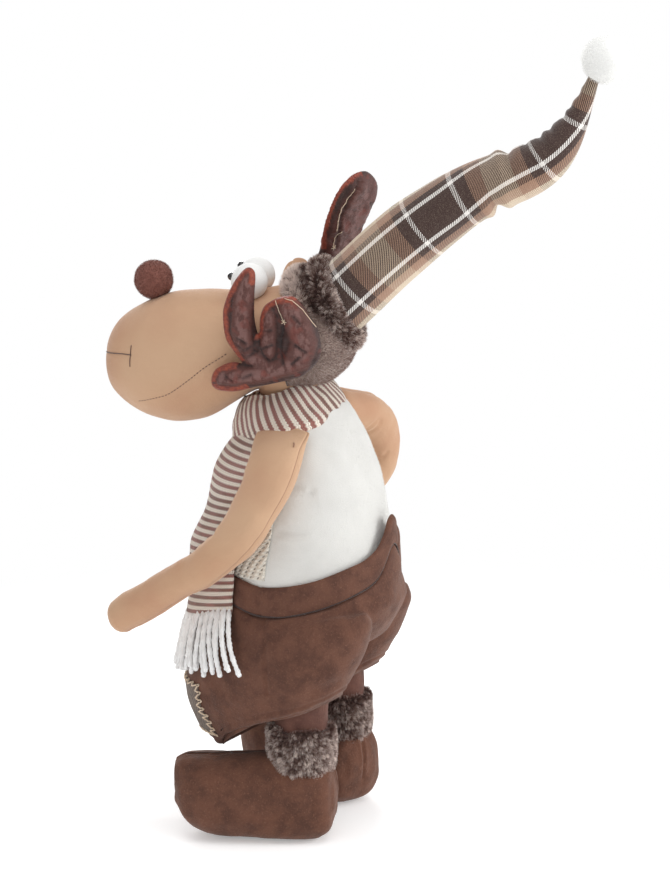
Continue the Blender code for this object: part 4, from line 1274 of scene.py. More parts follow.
@dataclass
class Workshop:
    """Puts finished pieces into the shared frame.

    Attributes:
        rng: The seeded source of chance.
    """

    frame: dict
    rng: np.random.Generator
    shift: Vector = field(init=False)

    def __post_init__(self) -> None:
        """Finds where the maker's origin lies in the shared frame."""
        joint = next(j for j in self.frame["joints"] if j["name"] == "head_turn")
        self.shift = Vector((joint["pos_m"][0], joint["pos_m"][1] - NECK_Y, 0))

    def matrix(self, on_head: bool) -> Matrix:
        """The move from the maker's frame, or the head's own, to the shared frame.

        Args:
            on_head: Whether the move starts from the head's own frame.

        Returns:
            The move.
        """
        if not on_head:
            return Matrix.Translation(self.shift)
        neck = self.shift + Vector((0, NECK_Y, 0))
        return Matrix.Translation(neck) @ Matrix.Rotation(HEAD_YAW, 4, "Z")

    def place(
        self, name: str, shape: Skin | Needlework | bpy.types.Mesh, finish: Finish, body: str | tuple,
        replaces: Sequence[str] = (), slot: str | None = None, fill: float | None = None,
        on_head: bool = False,
    ) -> bpy.types.Object:
        """Makes a shape into a piece of the toy.

        Args:
            name: The piece's name.
            shape: Its skin, threads or mesh, in the maker's frame or the head's own.
            finish: Its cloth.
            body: The body it rides on, or two bodies and the start and end of a bend; with two, its move is
                baked in and it is neither attached nor bent.
            replaces: The solids that it stands for.
            slot: The record's material slot; not used.
            fill: How full a stuffed piece is; not used.
            on_head: Whether the shape is in the head's own frame.

        Returns:
            The object.
        """
        move = self.matrix(on_head)
        mesh = shape if isinstance(shape, bpy.types.Mesh) else shape.mesh(name)
        mesh.transform(move)
        mesh.materials.append(finish.made())
        piece = linked(name, mesh)
        if isinstance(body, str):
            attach(piece, body)
        else:
            first, second, start, end = body
            start, end = (move @ Vector(point) for point in (start, end))
            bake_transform(piece)
        if replaces:
            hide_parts(*replaces)
        LOG.info("%s: %d faces on %s", name, len(mesh.polygons), body)
        return piece

    def sewn(
        self, name: str, finish: Finish, body: str | tuple, slot: str,
        *threads: tuple[np.ndarray, float], on_head: bool = False,
    ) -> bpy.types.Object:
        """Sews threads, each a path and its radius, as a piece of their own.

        Args:
            name: The piece's name.
            finish: Its yarn.
            body: What it rides on.
            slot: The record's material slot.
            on_head: Whether the paths are in the head's own frame.
            *threads: Paths with their radii.

        Returns:
            The object.
        """
        work = Needlework()
        for path, radius in threads:
            work.add(path, radius)
        return self.place(name, work, finish, body, slot=slot, on_head=on_head)

    def furred(
        self, name: str, skin: Skin, pile: Pile, finish: Finish, body: str | tuple, on_head: bool = False,
        slot: str = "brown_fur", tone: Callable | None = None, keep: Callable | None = None,
    ) -> bpy.types.Object:
        """Grows a pile on a skin as a piece of its own.

        Args:
            name: The piece's name.
            skin: What the strands grow on.
            pile: How they stand.
            finish: Their colours.
            body: What they ride on.
            on_head: Whether the skin is in the head's own frame.
            slot: The record's material slot.
            tone: The roots' tone, as rooted() takes it.
            keep: Where the strands stand, as rooted() takes it.

        Returns:
            The object.
        """
        roots = rooted(skin, pile.count, self.rng, tone, keep)
        mesh = pile.grown(name, roots, self.rng)
        return self.place(name, mesh, finish, body, slot=slot, on_head=on_head)


def rounded(
    rings: np.ndarray, bulge: float = 0.6, steps: int = 5, start: bool = True, end: bool = True,
    lead: float = 0.0, square: float = 2.0,
) -> np.ndarray:
    """Rings with domes of further rings over their ends.

    Args:
        rings: Rows by columns by 3.
        bulge: A dome's height as a share of its ring's mean radius.
        steps: Rows in each dome.
        start: Whether the start is domed.
        end: Whether the end is.
        lead: The angle in radians at which a dome begins; more for rings that already close.
        square: 2 for a round dome, and more for one with fuller corners.

    Returns:
        The rings with their domes.
    """
    parts = [rings]
    for wanted, first, second, before in ((start, 0, 1, True), (end, -1, -2, False)):
        if not wanted:
            continue
        edge = rings[first]
        middle = edge.mean(0)
        heading = unit(middle - rings[second].mean(0))
        radius = np.linalg.norm(edge - middle, axis=1).mean()
        dome = []
        for k in range(1, steps + 1):
            turn = lead + k * (math.pi / 2 - lead) / (steps + 0.3)
            wide = (math.cos(turn) / math.cos(lead)) ** (2 / square)
            past = math.sin(turn) ** (2 / square) - math.sin(lead) ** (2 / square)
            dome.append(middle + heading * radius * bulge * past + (edge - middle) * wide)
        parts = [np.array(dome)[::-1], *parts] if before else [*parts, np.array(dome)]
    return np.concatenate(parts)


def ball_skin(radius: float, at: Sequence[float], rows: int, sides: int) -> Skin:
    """A ball whose rows run from one pole to the other along Z.

    Args:
        radius: Its radius.
        at: Its middle.
        rows: Rows from pole to pole.
        sides: Points round each ring.

    Returns:
        The skin.
    """
    turn = (np.arange(rows) + 0.5) * math.pi / rows
    x, y, z = at
    return Skin(stacked(-np.cos(turn) * radius + z, np.sin(turn) * radius, sides, x, y))


def tube(
    path: np.ndarray, widths: np.ndarray, thicks: np.ndarray, normals: np.ndarray, sides: int
) -> np.ndarray:
    """Rings round a path, with a half width across it and a half thickness along its normals.

    Args:
        path: The middle line.
        widths: Half widths.
        thicks: Half thicknesses.
        normals: The direction of the thickness at each point.
        sides: Points round each ring.

    Returns:
        Rows by sides by 3.
    """
    heading = unit(np.gradient(path, axis=0))
    normals = unit(normals - heading * (normals * heading).sum(1, keepdims=True))
    side = np.cross(normals, heading)
    return ellipses(path, side * widths[:, None], normals * thicks[:, None], sides)


def surface_of(mesh: bpy.types.Mesh) -> BVHTree:
    """The mesh's surface, for finding its nearest point."""
    places = [vertex.co.copy() for vertex in mesh.vertices]
    return BVHTree.FromPolygons(places, [tuple(face.vertices) for face in mesh.polygons])


def laid_on(tree: BVHTree, path: Rows | np.ndarray, lift: float = 0.0) -> np.ndarray:
    """A path's points moved to the nearest place of a surface and lifted off it.

    Args:
        tree: The surface.
        path: The points that it runs through.
        lift: How far above it.

    Returns:
        The moved points.
    """
    out = []
    for point in np.asarray(path, float):
        place, normal, _, _ = tree.find_nearest(Vector(point))
        out.append(np.array(place + normal * lift))
    return np.array(out)


def stitches(work: Needlework, path: np.ndarray, pitch: float, gap: float, radius: float) -> None:
    """Adds a running stitch along a path: a thread of each pitch less the gap.

    Args:
        work: What takes the stitches.
        path: The points that it runs through.
        pitch: The distance between stitches.
        gap: The space between them.
        radius: The thread's radius.
    """
    length = np.linalg.norm(np.diff(path, axis=0), axis=1).sum()
    count = max(int(length / pitch), 1)
    fine = spaced(path, 8 * count + 1)
    share = max(int(8 * (1 - gap / pitch)), 2)
    for k in range(count):
        work.add(fine[8 * k : 8 * k + share + 1], radius)


def groove_at(points: np.ndarray, path: np.ndarray, width: float) -> np.ndarray:
    """From 0 to 1, how near each point is to a path.

    Args:
        points: The places, with their coordinates last.
        path: The points that it runs through.
        width: How far the groove reaches.

    Returns:
        A number for each place.
    """
    flat = points.reshape(-1, 3)
    near = np.full(len(flat), 1e9)
    for a, b in zip(path, path[1:]):
        span = b - a
        share = np.clip((flat - a) @ span / max(span @ span, 1e-12), 0, 1)
        near = np.minimum(near, np.linalg.norm(flat - a - share[:, None] * span, axis=1))
    return np.exp(-((near / width) ** 2)).reshape(points.shape[:-1])


def touching(points: np.ndarray, path: Rows) -> np.ndarray:
    """The point of a surface nearest to each millimetre place of a path."""
    flat = points.reshape(-1, 3)
    return np.array([flat[((flat - place) ** 2).sum(1).argmin()] for place in np.array(path) * MM])


def thickened(mesh: bpy.types.Mesh, thick: float) -> bpy.types.Mesh:
    """A sheet with a second face at a distance, and its edge closed.

    Args:
        mesh: The sheet.
        thick: Its thickness.

    Returns:
        The same mesh.
    """
    shape = bmesh.new()
    shape.from_mesh(mesh)
    bmesh.ops.solidify(shape, geom=shape.faces[:], thickness=thick)
    shape.to_mesh(mesh)
    shape.free()
    mesh.shade_smooth()
    return mesh


# the toy's measures, as in the part's own source

NECK_Y = -0.014
HEAD_YAW = math.radians(15)
HEAD_MIDDLE = 0.364


@dataclass(frozen=True)
class BodySizes:
    """The torso and the clothes on it."""

    half_width: float = 0.0665
    half_depth: float = 0.0735
    ahead: float = 0.013
    foot: float = 0.128
    height: float = 0.207
    seam: float = 0.176
    felt: float = 0.0028
    gap: float = 0.0003
    rows: Rows = (
        (0.0, 1.31, 0.42, 0.42), (0.03, 1.31, 0.72, 0.73), (0.09, 1.23, 0.90, 0.91),
        (0.18, 1.08, 0.98, 0.98), (0.29, 1.0, 1.0, 1.0), (0.42, 0.92, 0.965, 0.935),
        (0.536, 0.69, 0.902, 0.843), (0.700, 0.54, 0.812, 0.735), (0.783, 0.485, 0.737, 0.646),
        (0.860, 0.46, 0.632, 0.544), (0.93, 0.54, 0.515, 0.430), (0.975, 0.65, 0.40, 0.340),
        (1.0, 0.69, 0.28, 0.24),
    )

    def ellipse(self, height: np.ndarray | float) -> tuple:
        """The torso's middle in y and its half width and depth at a height.

        Args:
            height: The height, or several.

        Returns:
            The three numbers.
        """
        table = np.array(self.rows)
        share = (height - self.foot) / self.height
        ahead, width, depth = (np.interp(share, table[:, 0], table[:, k]) for k in (1, 2, 3))
        return -ahead * self.ahead, width * self.half_width, depth * self.half_depth

    def around(self, heights: np.ndarray, turns: np.ndarray, room: np.ndarray | float) -> np.ndarray:
        """Points round the torso at heights and turns, with some room to it.

        Args:
            heights: Heights.
            turns: Angles.
            room: The distance to the torso.

        Returns:
            The points.
        """
        y, width, depth = self.ellipse(np.maximum(heights, self.seam))
        x = np.cos(turns) * (width + room)
        return np.stack([x, y + np.sin(turns) * (depth + room), np.broadcast_to(heights, x.shape)], -1)


BODY = BodySizes()
SIDES = ((1, "left"), (-1, "right"))


@dataclass(frozen=True)
class Torso:
    """The fleece torso, the neck, and the eyelet knit on its front.

    Attributes:
        creases: Lines of the fleece's folds, in millimetres.
        hidden: The share of the torso's height that the trousers cover and that isn't made.
        neck: The neck's height, radius and way back, each at its foot and at its head.
    """

    creases: Sequence[Rows] = (
        ((52, 0, 271), (52, 10, 271.4), (51, 21, 270.4)), ((57, -3, 240), (57, 6, 240.2), (56, 15, 239.4)),
    )
    hidden: float = 0.20
    neck: Rows = ((0.320, 0.357), (0.0240, 0.0310), (0.002, 0.0105))
    panel_head: float = 0.290
    panel_foot: float = 0.203
    panel_thick: float = 0.0013

    def build(self, shop: Workshop) -> None:
        """Makes the pieces.

        Args:
            shop: What places the pieces.
        """
        table = eased(BODY.rows, 8)
        table = table[table[:, 0] > self.hidden]
        z = BODY.foot + table[:, 0] * BODY.height
        centres = np.column_stack([0 * z, -table[:, 1] * BODY.ahead, z])
        across = np.column_stack([table[:, 2] * BODY.half_width, 0 * z, 0 * z])
        deep = np.column_stack([0 * z, table[:, 3] * BODY.half_depth, 0 * z])
        rings = rounded(ellipses(centres, across, deep, 128), 0.3, 4, start=False)
        skin = Skin(rings)
        p = skin.points
        height = 0.0009 * cloud(p, 0.035, 1) + 0.0005 * cloud(p, 0.014, 2)
        for crease in self.creases:
            height = height - 0.0016 * groove_at(p, touching(p, crease), 0.0015)
        skin = skin.raised(height)
        shop.place("fleece_torso", skin, FLEECE, "body", ["torso"], "white_fleece", 0.85)
        pile = Pile(26000, 0.0009, 0.00014, 0.5, 0.35, pale=0.4)
        shop.furred(
            "torso_nap", skin, pile, FLEECE_PILE, "body", slot="white_fleece",
            tone=lambda row, column, at: 0.3 + 0 * row, keep=lambda row, column: (row > 0.12) * 1.0,
        )
        z, wide, back = (np.linspace(*ends, 14) for ends in self.neck)
        skin = Skin(rounded(stacked(z, wide, 48, y=NECK_Y - back), 0.2))
        skin = skin.raised(0.0004 * cloud(skin.points, 0.008, 3))
        shop.place("suede_neck", skin, TAN, "body", ["neck"], "tan_suede", 0.9)
        self.panel(shop)

    def panel(self, shop: Workshop) -> None:
        """Makes the knit front, a sheet sewn over the fleece.

        Args:
            shop: What places the pieces.
        """
        z = np.linspace(self.panel_foot, self.panel_head, 40)[:, None]
        z, turn = np.broadcast_arrays(z, np.linspace(-math.pi, 0, 90)[None, :])
        points = BODY.around(z, turn, BODY.gap + 0.0016)
        points = points + 0.0003 * cloud(points, 0.02, 5)[..., None] * unit(points * [1, 1, 0])
        skin = Skin(points, wraps=False)
        size = skin.cloth()[..., 0].max(), skin.cloth()[..., 1].max()
        mesh = thickened(skin.mesh("eyelet_front"), self.panel_thick)
        piece = shop.place("eyelet_front", mesh, EYELETS, "body", ["knit_front"], "cream_knit")
        flat, area = tuple(map(float, size)), float(size[0] * size[1] * 0.93)


@dataclass(frozen=True)
class Head:
    """The suede head with its mouth and seams, its face, its hood and its ears."""

    reach: float = 0.1465
    behind: float = 0.041
    half_width: float = 0.047
    half_height: float = 0.0495
    hood_front: float = -0.006
    nose_radius: float = 0.015
    eye_radius: float = 0.014
    ear_length: float = 0.034
    ear_half_width: float = 0.011
    ear_thick: float = 0.007
    rows: Rows = (
        (-1, -0.20, 0.20, 0.17), (-0.985, -0.19, 0.42, 0.38), (-0.94, -0.18, 0.62, 0.58),
        (-0.865, -0.18, 0.80, 0.76), (-0.76, -0.16, 0.94, 0.91), (-0.625, -0.13, 1, 1),
        (-0.48, -0.07, 0.98, 0.97), (-0.345, 0.04, 0.93, 0.86), (-0.225, 0.16, 0.90, 0.765),
        (-0.11, 0.22, 0.92, 0.775), (0, 0.25, 0.94, 0.765), (0.366, 0.26, 0.90, 0.70),
        (0.634, 0.27, 0.78, 0.59), (0.85, 0.27, 0.56, 0.42), (0.96, 0.27, 0.35, 0.26),
        (1, 0.27, 0.18, 0.13),
    )
    mouth: Rows = ((38.8, -120.0, 364.5), (35.8, -126.1, 364.3), (31.5, -132.5, 363.8),
                   (24.6, -139.6, 362.6), (13, -145, 361.5), (0, -146.3, 361))
    tick: Rows = (
        (37.4, -120.4, 371.2), (38.3, -120.5, 366.3), (39.0, -120.7, 361.3), (39.6, -120.7, 356.2),
    )
    jaw: Rows = ((32.0, -116.1, 329.1), (38.4, -103.0, 333.2), (41.4, -91.6, 337.3),
                 (44.3, -78.0, 346.7), (44.5, -64.2, 357.8), (44.1, -54.5, 364.0), (43.1, -46.3, 369.4))

    def rings(self, grow: float, sides: int = 144, steps: int = 8) -> np.ndarray:
        """The head's sections, from the snout to the back.

        Args:
            grow: How far outside the head.
            sides: Points round each ring.
            steps: Rows for each listed section.

        Returns:
            Rows by sides by 3.
        """
        table = eased(self.rows, steps)
        y = table[:, 0] * np.where(table[:, 0] < 0, self.reach, self.behind)
        z = HEAD_MIDDLE + table[:, 1] * self.half_height
        wide = table[:, 2] * self.half_width + grow
        tall = table[:, 3] * self.half_height + grow
        centres = np.column_stack([0 * y, y, z])
        across = np.column_stack([wide, 0 * y, 0 * y])
        up = np.column_stack([0 * y, 0 * y, tall])
        return ellipses(centres, across, up, sides)

    def build(self, shop: Workshop) -> None:
        """Makes the pieces.

        Args:
            shop: What places the pieces.
        """
        skin = Skin(rounded(self.rings(0), 0.5, 6, lead=0.7))
        p = skin.points
        height = 0.0009 * cloud(p, 0.045, 7) + 0.0004 * cloud(p, 0.016, 8)
        for side in (1, -1):
            flip = np.array([side, 1, 1]) * MM
            height = height - 0.0005 * groove_at(p, np.array(self.mouth) * flip, 0.0018)
            height = height - 0.0003 * groove_at(p, np.array(self.jaw) * flip, 0.0015)
        skin = skin.raised(height)
        mesh = skin.mesh("suede_head")
        tree = surface_of(mesh)
        shop.place("suede_head", mesh, TAN, "head", ["head"], "tan_suede", 0.95, on_head=True)
        mouth, jaw = Needlework(), Needlework()
        for side in (1, -1):
            flip = np.array([side, 1, 1]) * MM
            line = laid_on(tree, spaced(eased(np.array(self.mouth) * flip, 4), 60), 0.0001)
            mouth.add(line, 0.00042)
            mouth.add(laid_on(tree, spaced(np.array(self.tick) * flip, 24), 0.0001), 0.00042)
            line = laid_on(tree, spaced(eased(np.array(self.jaw) * flip, 4), 150), -0.0001)
            stitches(jaw, line, 0.0028, 0.0020, 0.00044)
        for label, work in (("mouth_thread", mouth), ("jaw_stitches", jaw)):
            shop.place(label, work, BROWN_THREAD, "head", slot="brown_felt", on_head=True)
        self.face(shop)
        self.hood(shop)
        for side, name in SIDES:
            self.ear(shop, side, name)

    def face(self, shop: Workshop) -> None:
        """Makes the nose and the eyes, and gives the beads their gloss.

        Args:
            shop: What places the pieces.
        """
        up = 0.745 * self.half_height + 0.93 * self.nose_radius
        at = (0, -0.765 * self.reach, HEAD_MIDDLE + up)
        nose = ball_skin(self.nose_radius - 0.0009, at, 40, 72)
        nose = nose.raised(0.0006 * cloud(nose.points, 0.006, 11))
        shop.place("felted_nose", nose, NOSE_GROUND, "head", ["nose_ball"], "nose_felt", 1.0, True)
        pile = Pile(15000, 0.0013, 0.00013, 0.0, 0.6, 0.0, 0.002, pale=0.6)
        shop.furred("nose_fuzz", nose, pile, NOSE_PILE, "head", True, "nose_felt")
        for side, name in SIDES:
            at = (side * 0.0143, -0.245 * self.reach, HEAD_MIDDLE + 1.09 * self.half_height)
            eye = ball_skin(self.eye_radius - 0.0003, at, 40, 72)
            eye = eye.raised(0.00015 * cloud(eye.points, 0.006, 12))
            nodes = [f"eye_{name}"]
            shop.place(f"soft_eye_{name}", eye, SOFT_BALL, "head", nodes, "white_yarn", 1.0, True)
            shop.frame["nodes"][f"pupil_{name}"].data.materials[0] = BEAD.made()

    def hood(self, shop: Workshop) -> None:
        """Makes the fur hood over the back of the head.

        Args:
            shop: What places the pieces.
        """
        lip, middle, outer = (self.rings(grow) for grow in (0.0003, 0.0014, 0.0022))
        covered = outer[:, 0, 1] > self.hood_front
        lip, middle, outer = lip[covered][:1], middle[covered][:1] - [0, 0.0007, 0], outer[covered]
        skin = Skin(rounded(np.concatenate([lip, middle, outer]), 0.3, 5, start=False))
        mesh = skin.mesh("hood_lining", Ends.OPEN)
        shop.place("hood_lining", mesh, LINING, "head", ["hood"], "brown_fur", 0.3, True)
        pile = Pile(34000, 0.0021, 0.00018, 0.9, 0.3, 0.0, 0.003, pale=0.45)
        shop.furred(
            "hood_pile", skin, pile, FUR, "head", True,
            tone=lambda row, column, at: 0.36 + 0.12 * cloud(at, 0.012, 14),
        )
        hem = np.vstack([outer[0], outer[0][:1]]) - [0, 0.0012, 0]
        shop.sewn("hood_hem", SEAM_BROWN, "head", "brown_fur", (hem, 0.0007), on_head=True)

    def ear(self, shop: Workshop, side: int, name: str) -> None:
        """Makes an ear: the right one stands up, and the left one hangs behind its antler.

        Args:
            shop: What places the pieces.
            side: 1 for the left side and -1 for the right.
            name: The side's name.
        """
        standing = side < 0
        back = 1.8 * self.hood_front if standing else self.hood_front
        root = np.array([side * (0.70 if standing else 0.985) * self.half_width, back, HEAD_MIDDLE])
        root[2] += (0.85 if standing else 0.68) * self.half_height
        heading = unit([-0.55, 0.12, 1.0] if standing else [0.06, 0.50, -0.86])
        normal = unit(np.cross(heading, [0, 1, 0])) if standing else unit([1, 0, 0.08])
        blunt = ((-0.3, 0.75), (0.2, 1.0), (0.42, 0.98), (0.56, 0.80), (0.62, 0.52))
        drawn = ((0.0, 0.75), (0.3, 1.0), (0.6, 0.92), (0.85, 0.55), (1.0, 0.16))
        rows = eased(blunt if standing else drawn, 8)
        path = root + heading * self.ear_length * rows[:, :1]
        wide = self.ear_half_width * rows[:, 1]
        thick = self.ear_thick / (2 if standing else 3) * np.sqrt(rows[:, 1])
        normals = np.broadcast_to(normal, path.shape)
        skin = Skin(rounded(tube(path, wide, thick, normals, 64), 0.7, 4))
        fold = np.vstack([path[0], path[-1]])
        dent = groove_at(skin.points * 1.0, fold + normal * 0.0035, 0.0035)
        skin = skin.raised(0.0003 * cloud(skin.points, 0.008, 15) - 0.0012 * dent)
        mesh = skin.mesh(f"suede_ear_{name}")
        tree = surface_of(mesh)
        shop.place(f"suede_ear_{name}", mesh, TAN, "head", [f"ear_{name}"], "tan_suede", 0.5, True)
        line = fold[0] + (fold[1] - fold[0]) * np.linspace(0.25, 0.95, 12)[:, None] + normal * 0.01
        seam = laid_on(tree, spaced(line, 30), 0.0002)
        shop.sewn(f"ear_seam_{name}", CREAM_THREAD, "head", "tan_suede", (seam, 0.0005), on_head=True)


ANTLER_FOOT = (
    (0.267, -0.253), (0.162, -0.297), (-0.004, -0.342), (-0.171, -0.379), (-0.339, -0.423),
    (-0.474, -0.420), (-0.531, -0.392),
)


@dataclass(frozen=True)
class Antlers:
    """Two stuffed velvet antlers with rust rims, their orange partly painted backlight, creases and loose
    threads.

    Attributes:
        span: An antler's width in metres. All its lines are shares of it.
        thick: Its greatest thickness.
        grid: The distance between its face's points.
        round_over: How far from its edge it reaches its full thickness.
        rim: How wide the rust rim is, whose orange is partly painted backlight.
        rims: From which to which point of the outline the rims run.
        creases: Lines of its folds.
        tubes: The fullest lines of its tines, each with its half width.
    """

    span: float = 0.085
    thick: float = 0.0125
    grid: float = 0.0013
    round_over: float = 0.0125
    rim: float = 0.0046
    outline: Rows = (
        (-0.548, -0.353), (-0.543, -0.291), (-0.503, -0.228), (-0.406, -0.177), (-0.336, -0.165),
        (-0.279, -0.170),
        (-0.337, -0.089), (-0.419, 0.042), (-0.443, 0.241), (-0.416, 0.374), (-0.348, 0.525), (-0.264, 0.636),
        (-0.206, 0.663), (-0.164, 0.630), (-0.156, 0.566), (-0.166, 0.415), (-0.167, 0.250), (-0.154, 0.150),
        (-0.136, 0.093), (-0.122, 0.134), (-0.120, 0.221), (-0.083, 0.326), (-0.001, 0.389), (0.083, 0.421),
        (0.164, 0.424), (0.233, 0.375), (0.315, 0.265), (0.380, 0.159), (0.410, 0.021), (0.393, -0.118),
        *ANTLER_FOOT,
    )
    rims: Sequence[tuple[float, float]] = ((0.0, 4.4), (5.2, 14.4), (18.0, 24.6), (33.2, 37.0))
    creases: Sequence[Rows] = (
        ((0.022, 0.385), (0.055, 0.296), (0.103, 0.211)),
        ((0.103, 0.211), (0.076, 0.071), (0.067, -0.051), (0.101, -0.155)),
        ((-0.137, 0.073), (-0.116, 0.004), (-0.090, -0.065), (-0.038, -0.125)),
        ((-0.317, -0.064), (-0.239, -0.114), (-0.160, -0.068)),
        ((-0.317, -0.003), (-0.247, -0.053), (-0.177, -0.007)),
        ((-0.308, 0.058), (-0.229, 0.017)),
        ((-0.424, -0.190), (-0.283, -0.194), (-0.178, -0.182)),
        ((-0.090, -0.030), (-0.002, 0.007)),
        ((-0.089, 0.118), (-0.010, 0.138)),
        ((-0.416, -0.278), (-0.354, -0.319)),
        ((-0.258, -0.290), (-0.179, -0.252)),
        ((0.206, 0.014), (0.293, -0.043)),
        ((0.241, -0.089), (0.171, -0.152)),
        ((0.190, 0.265), (0.242, 0.198)),
    )
    tubes: Sequence[tuple[float, Rows]] = (
        (0.0082, ((-0.226, 0.538), (-0.261, 0.390), (-0.272, 0.146), (-0.256, -0.010))),
        (0.0068, ((-0.040, 0.249), (-0.037, 0.093), (-0.046, -0.055))),
        (0.0105, ((0.138, 0.350), (0.224, 0.180), (0.276, 0.026), (0.223, -0.115))),
        (0.0078, ((-0.442, -0.296), (-0.284, -0.282), (-0.091, -0.249), (0.154, -0.170))),
        (0.0062, ((-0.195, -0.113), (-0.091, -0.161))),
    )
    thread: Rows = ((0.022, 0.385), (0.060, 0.305), (0.103, 0.211))
    edge_thread: Rows = ((0.104, 0.410), (0.173, 0.395), (0.259, 0.320), (0.372, 0.167))
    far_outline: Rows = (
        (-0.548, -0.353), (-0.543, -0.291), (-0.530, -0.225), (-0.500, -0.180), (-0.505, -0.110),
        (-0.549, -0.029),
        (-0.597, 0.113), (-0.624, 0.267), (-0.627, 0.383), (-0.597, 0.493), (-0.513, 0.608), (-0.424, 0.652),
        (-0.325, 0.657), (-0.186, 0.604), (-0.103, 0.524), (-0.068, 0.360), (-0.067, 0.202), (-0.070, 0.110),
        (-0.020, 0.090), (0.040, 0.062), (0.110, 0.020), (0.250, -0.030), (0.350, -0.080), (0.393, -0.130),
        *ANTLER_FOOT,
    )
    far_rims: Sequence[tuple[float, float]] = ((4.0, 11.0),)
    far_tubes: Sequence[tuple[float, Rows]] = (
        (0.0190, ((-0.320, 0.450), (-0.350, 0.200), (-0.330, 0.000), (-0.230, -0.150))),
        (0.0090, ((-0.450, -0.320), (-0.200, -0.280), (0.100, -0.180))),
    )
    far_creases: Sequence[Rows] = (
        ((-0.470, 0.560), (-0.500, 0.420), (-0.500, 0.250), (-0.460, 0.080), (-0.400, -0.060)),
        ((-0.200, 0.400), (-0.100, 0.340)), ((-0.220, 0.150), (-0.090, 0.180)),
        ((-0.400, -0.200), (-0.200, -0.200)),
    )

    def looped(self, steps: int = 10) -> np.ndarray:
        """The outline as a fine closed line, in metres, with its place along the listed points.

        Args:
            steps: Points for each listed point.

        Returns:
            Rows of x, y and the place.
        """
        rows = np.array(self.outline) * self.span
        fine = eased(np.vstack([rows[-2:], rows, rows[:3]]), steps)
        fine = fine[2 * steps : (2 + len(rows)) * steps]
        return np.column_stack([fine, np.arange(len(fine)) / steps])

    def pillow(self, name: str) -> tuple[bpy.types.Mesh, Callable[[Rows, float], np.ndarray]]:
        """The antler lying flat, and a function that puts shares of its span on its face.

        Args:
            name: The mesh's name.

        Returns:
            The mesh and the function.
        """
        loop = self.looped()
        edge = spaced(np.vstack([loop, loop[:1] + [0, 0, len(self.outline)]]), 340)[:-1]
        x, y = (np.arange(edge[:, k].min(), edge[:, k].max(), self.grid) for k in (0, 1))
        gx, gy = np.meshgrid(x, y)
        gx = gx + (np.arange(len(y)) % 2)[:, None] * self.grid / 2
        inner = np.column_stack([gx.ravel(), gy.ravel()])
        inner = inner[self.inside(inner, edge[:, :2])]
        reach = np.linalg.norm(inner[:, None] - edge[None, :, :2], axis=2).min(1)
        inner = inner[reach > 0.6 * self.grid]
        flat = np.vstack([edge[:, :2], inner])
        count = len(edge)
        edges = [(k, (k + 1) % count) for k in range(count)]
        made = delaunay_2d_cdt([Vector(point) for point in flat], edges, [list(range(count))], 1, 1e-7)
        flat = np.array([tuple(point) for point in made[0]])
        faces = made[2]
        gap = np.linalg.norm(flat[:, None] - edge[None, :, :2], axis=2)
        near, at = gap.min(1), edge[gap.argmin(1), 2]
        share = np.clip(near / self.round_over, 0, 1)
        deep = np.column_stack([flat, 0 * near])
        plump = np.zeros(len(flat))
        for radius, line in self.tubes:
            close = np.maximum(groove_at(deep, self.level(line), radius), 1e-9)
            plump = np.maximum(plump, np.sqrt(np.clip(1 + np.log(close), 0, 1)))
        swell = self.thick / 2 * np.sqrt(1 - (1 - share) ** 2) * (0.55 + 0.62 * plump)
        rimmed = np.any([(at > low) & (at < high) for low, high in self.rims], axis=0) * 1.0
        ragged = self.rim * (1 + 0.25 * cloud(np.column_stack([flat, near]), 0.006, 21))
        rim = rimmed * (1 - step_up(near, 0.75 * ragged, 1.1 * ragged))
        crease = 0.8 * (rimmed * hump(near, ragged, 0.0008))
        for line in self.creases:
            crease = np.maximum(crease, groove_at(deep, self.level(line), 0.0011))
        lump = 0.0012 * cloud(deep, 0.012, 22) + 0.0008 * cloud(deep * [1, 2, 1], 0.005, 23)
        height = np.maximum(swell + (lump - 0.0019 * crease) * np.minimum(2 * share, 1), 0)
        height[near < 1e-6] = 0
        points = np.vstack([np.column_stack([flat, side * height]) for side in (1, -1)])
        second = np.where(near < 1e-6, np.arange(len(flat)), np.arange(len(flat)) + len(flat))
        faces = [tuple(f) for f in faces] + [tuple(int(second[v]) for v in reversed(f)) for f in faces]
        # plump carries painted shade and a painted highlight into the velvet, and crease carries painted
        # shade in the folds.
        numbers = {"rim": rim, "crease": crease * share, "plump": plump}
        tints = {key: np.tile(values, 2) for key, values in numbers.items()}
        mesh = woven_mesh(name, points, faces, tints=tints)
        tree = surface_of(mesh)

        def put(rows: Rows, lift: float) -> np.ndarray:
            """Shares of the span on the antler's upper face.

            Args:
                rows: Shares of the span.
                lift: How far above the face.

            Returns:
                The points.
            """
            line = np.array(rows, float) * self.span
            line = spaced(line, max(int(len(line) * 10), 12))
            down = Vector((0, 0, -1))
            hits = [tree.ray_cast(Vector((px, py, 0.05)), down)[0] for px, py in line]
            return np.column_stack([line, [(hit.z if hit else 0) + lift for hit in hits]])

        return mesh, put

    def level(self, line: Rows) -> np.ndarray:
        """A line of shares of the span in metres, at height 0."""
        return np.column_stack([np.array(line) * self.span, np.zeros(len(line))])

    def inside(self, points: np.ndarray, edge: np.ndarray) -> np.ndarray:
        """Which points lie inside a closed line.

        Args:
            points: Flat points.
            edge: The closed line.

        Returns:
            True or false for each point.
        """
        a, b = edge, np.roll(edge, -1, 0)
        x, y = points[:, :1], points[:, 1:]
        straddles = (a[:, 1] > y) != (b[:, 1] > y)
        rise = b[:, 1] - a[:, 1]
        cut = a[:, 0] + (y - a[:, 1]) * (b[:, 0] - a[:, 0]) / np.where(rise == 0, 1e-12, rise)
        return (straddles & (x < cut)).sum(1) % 2 == 1

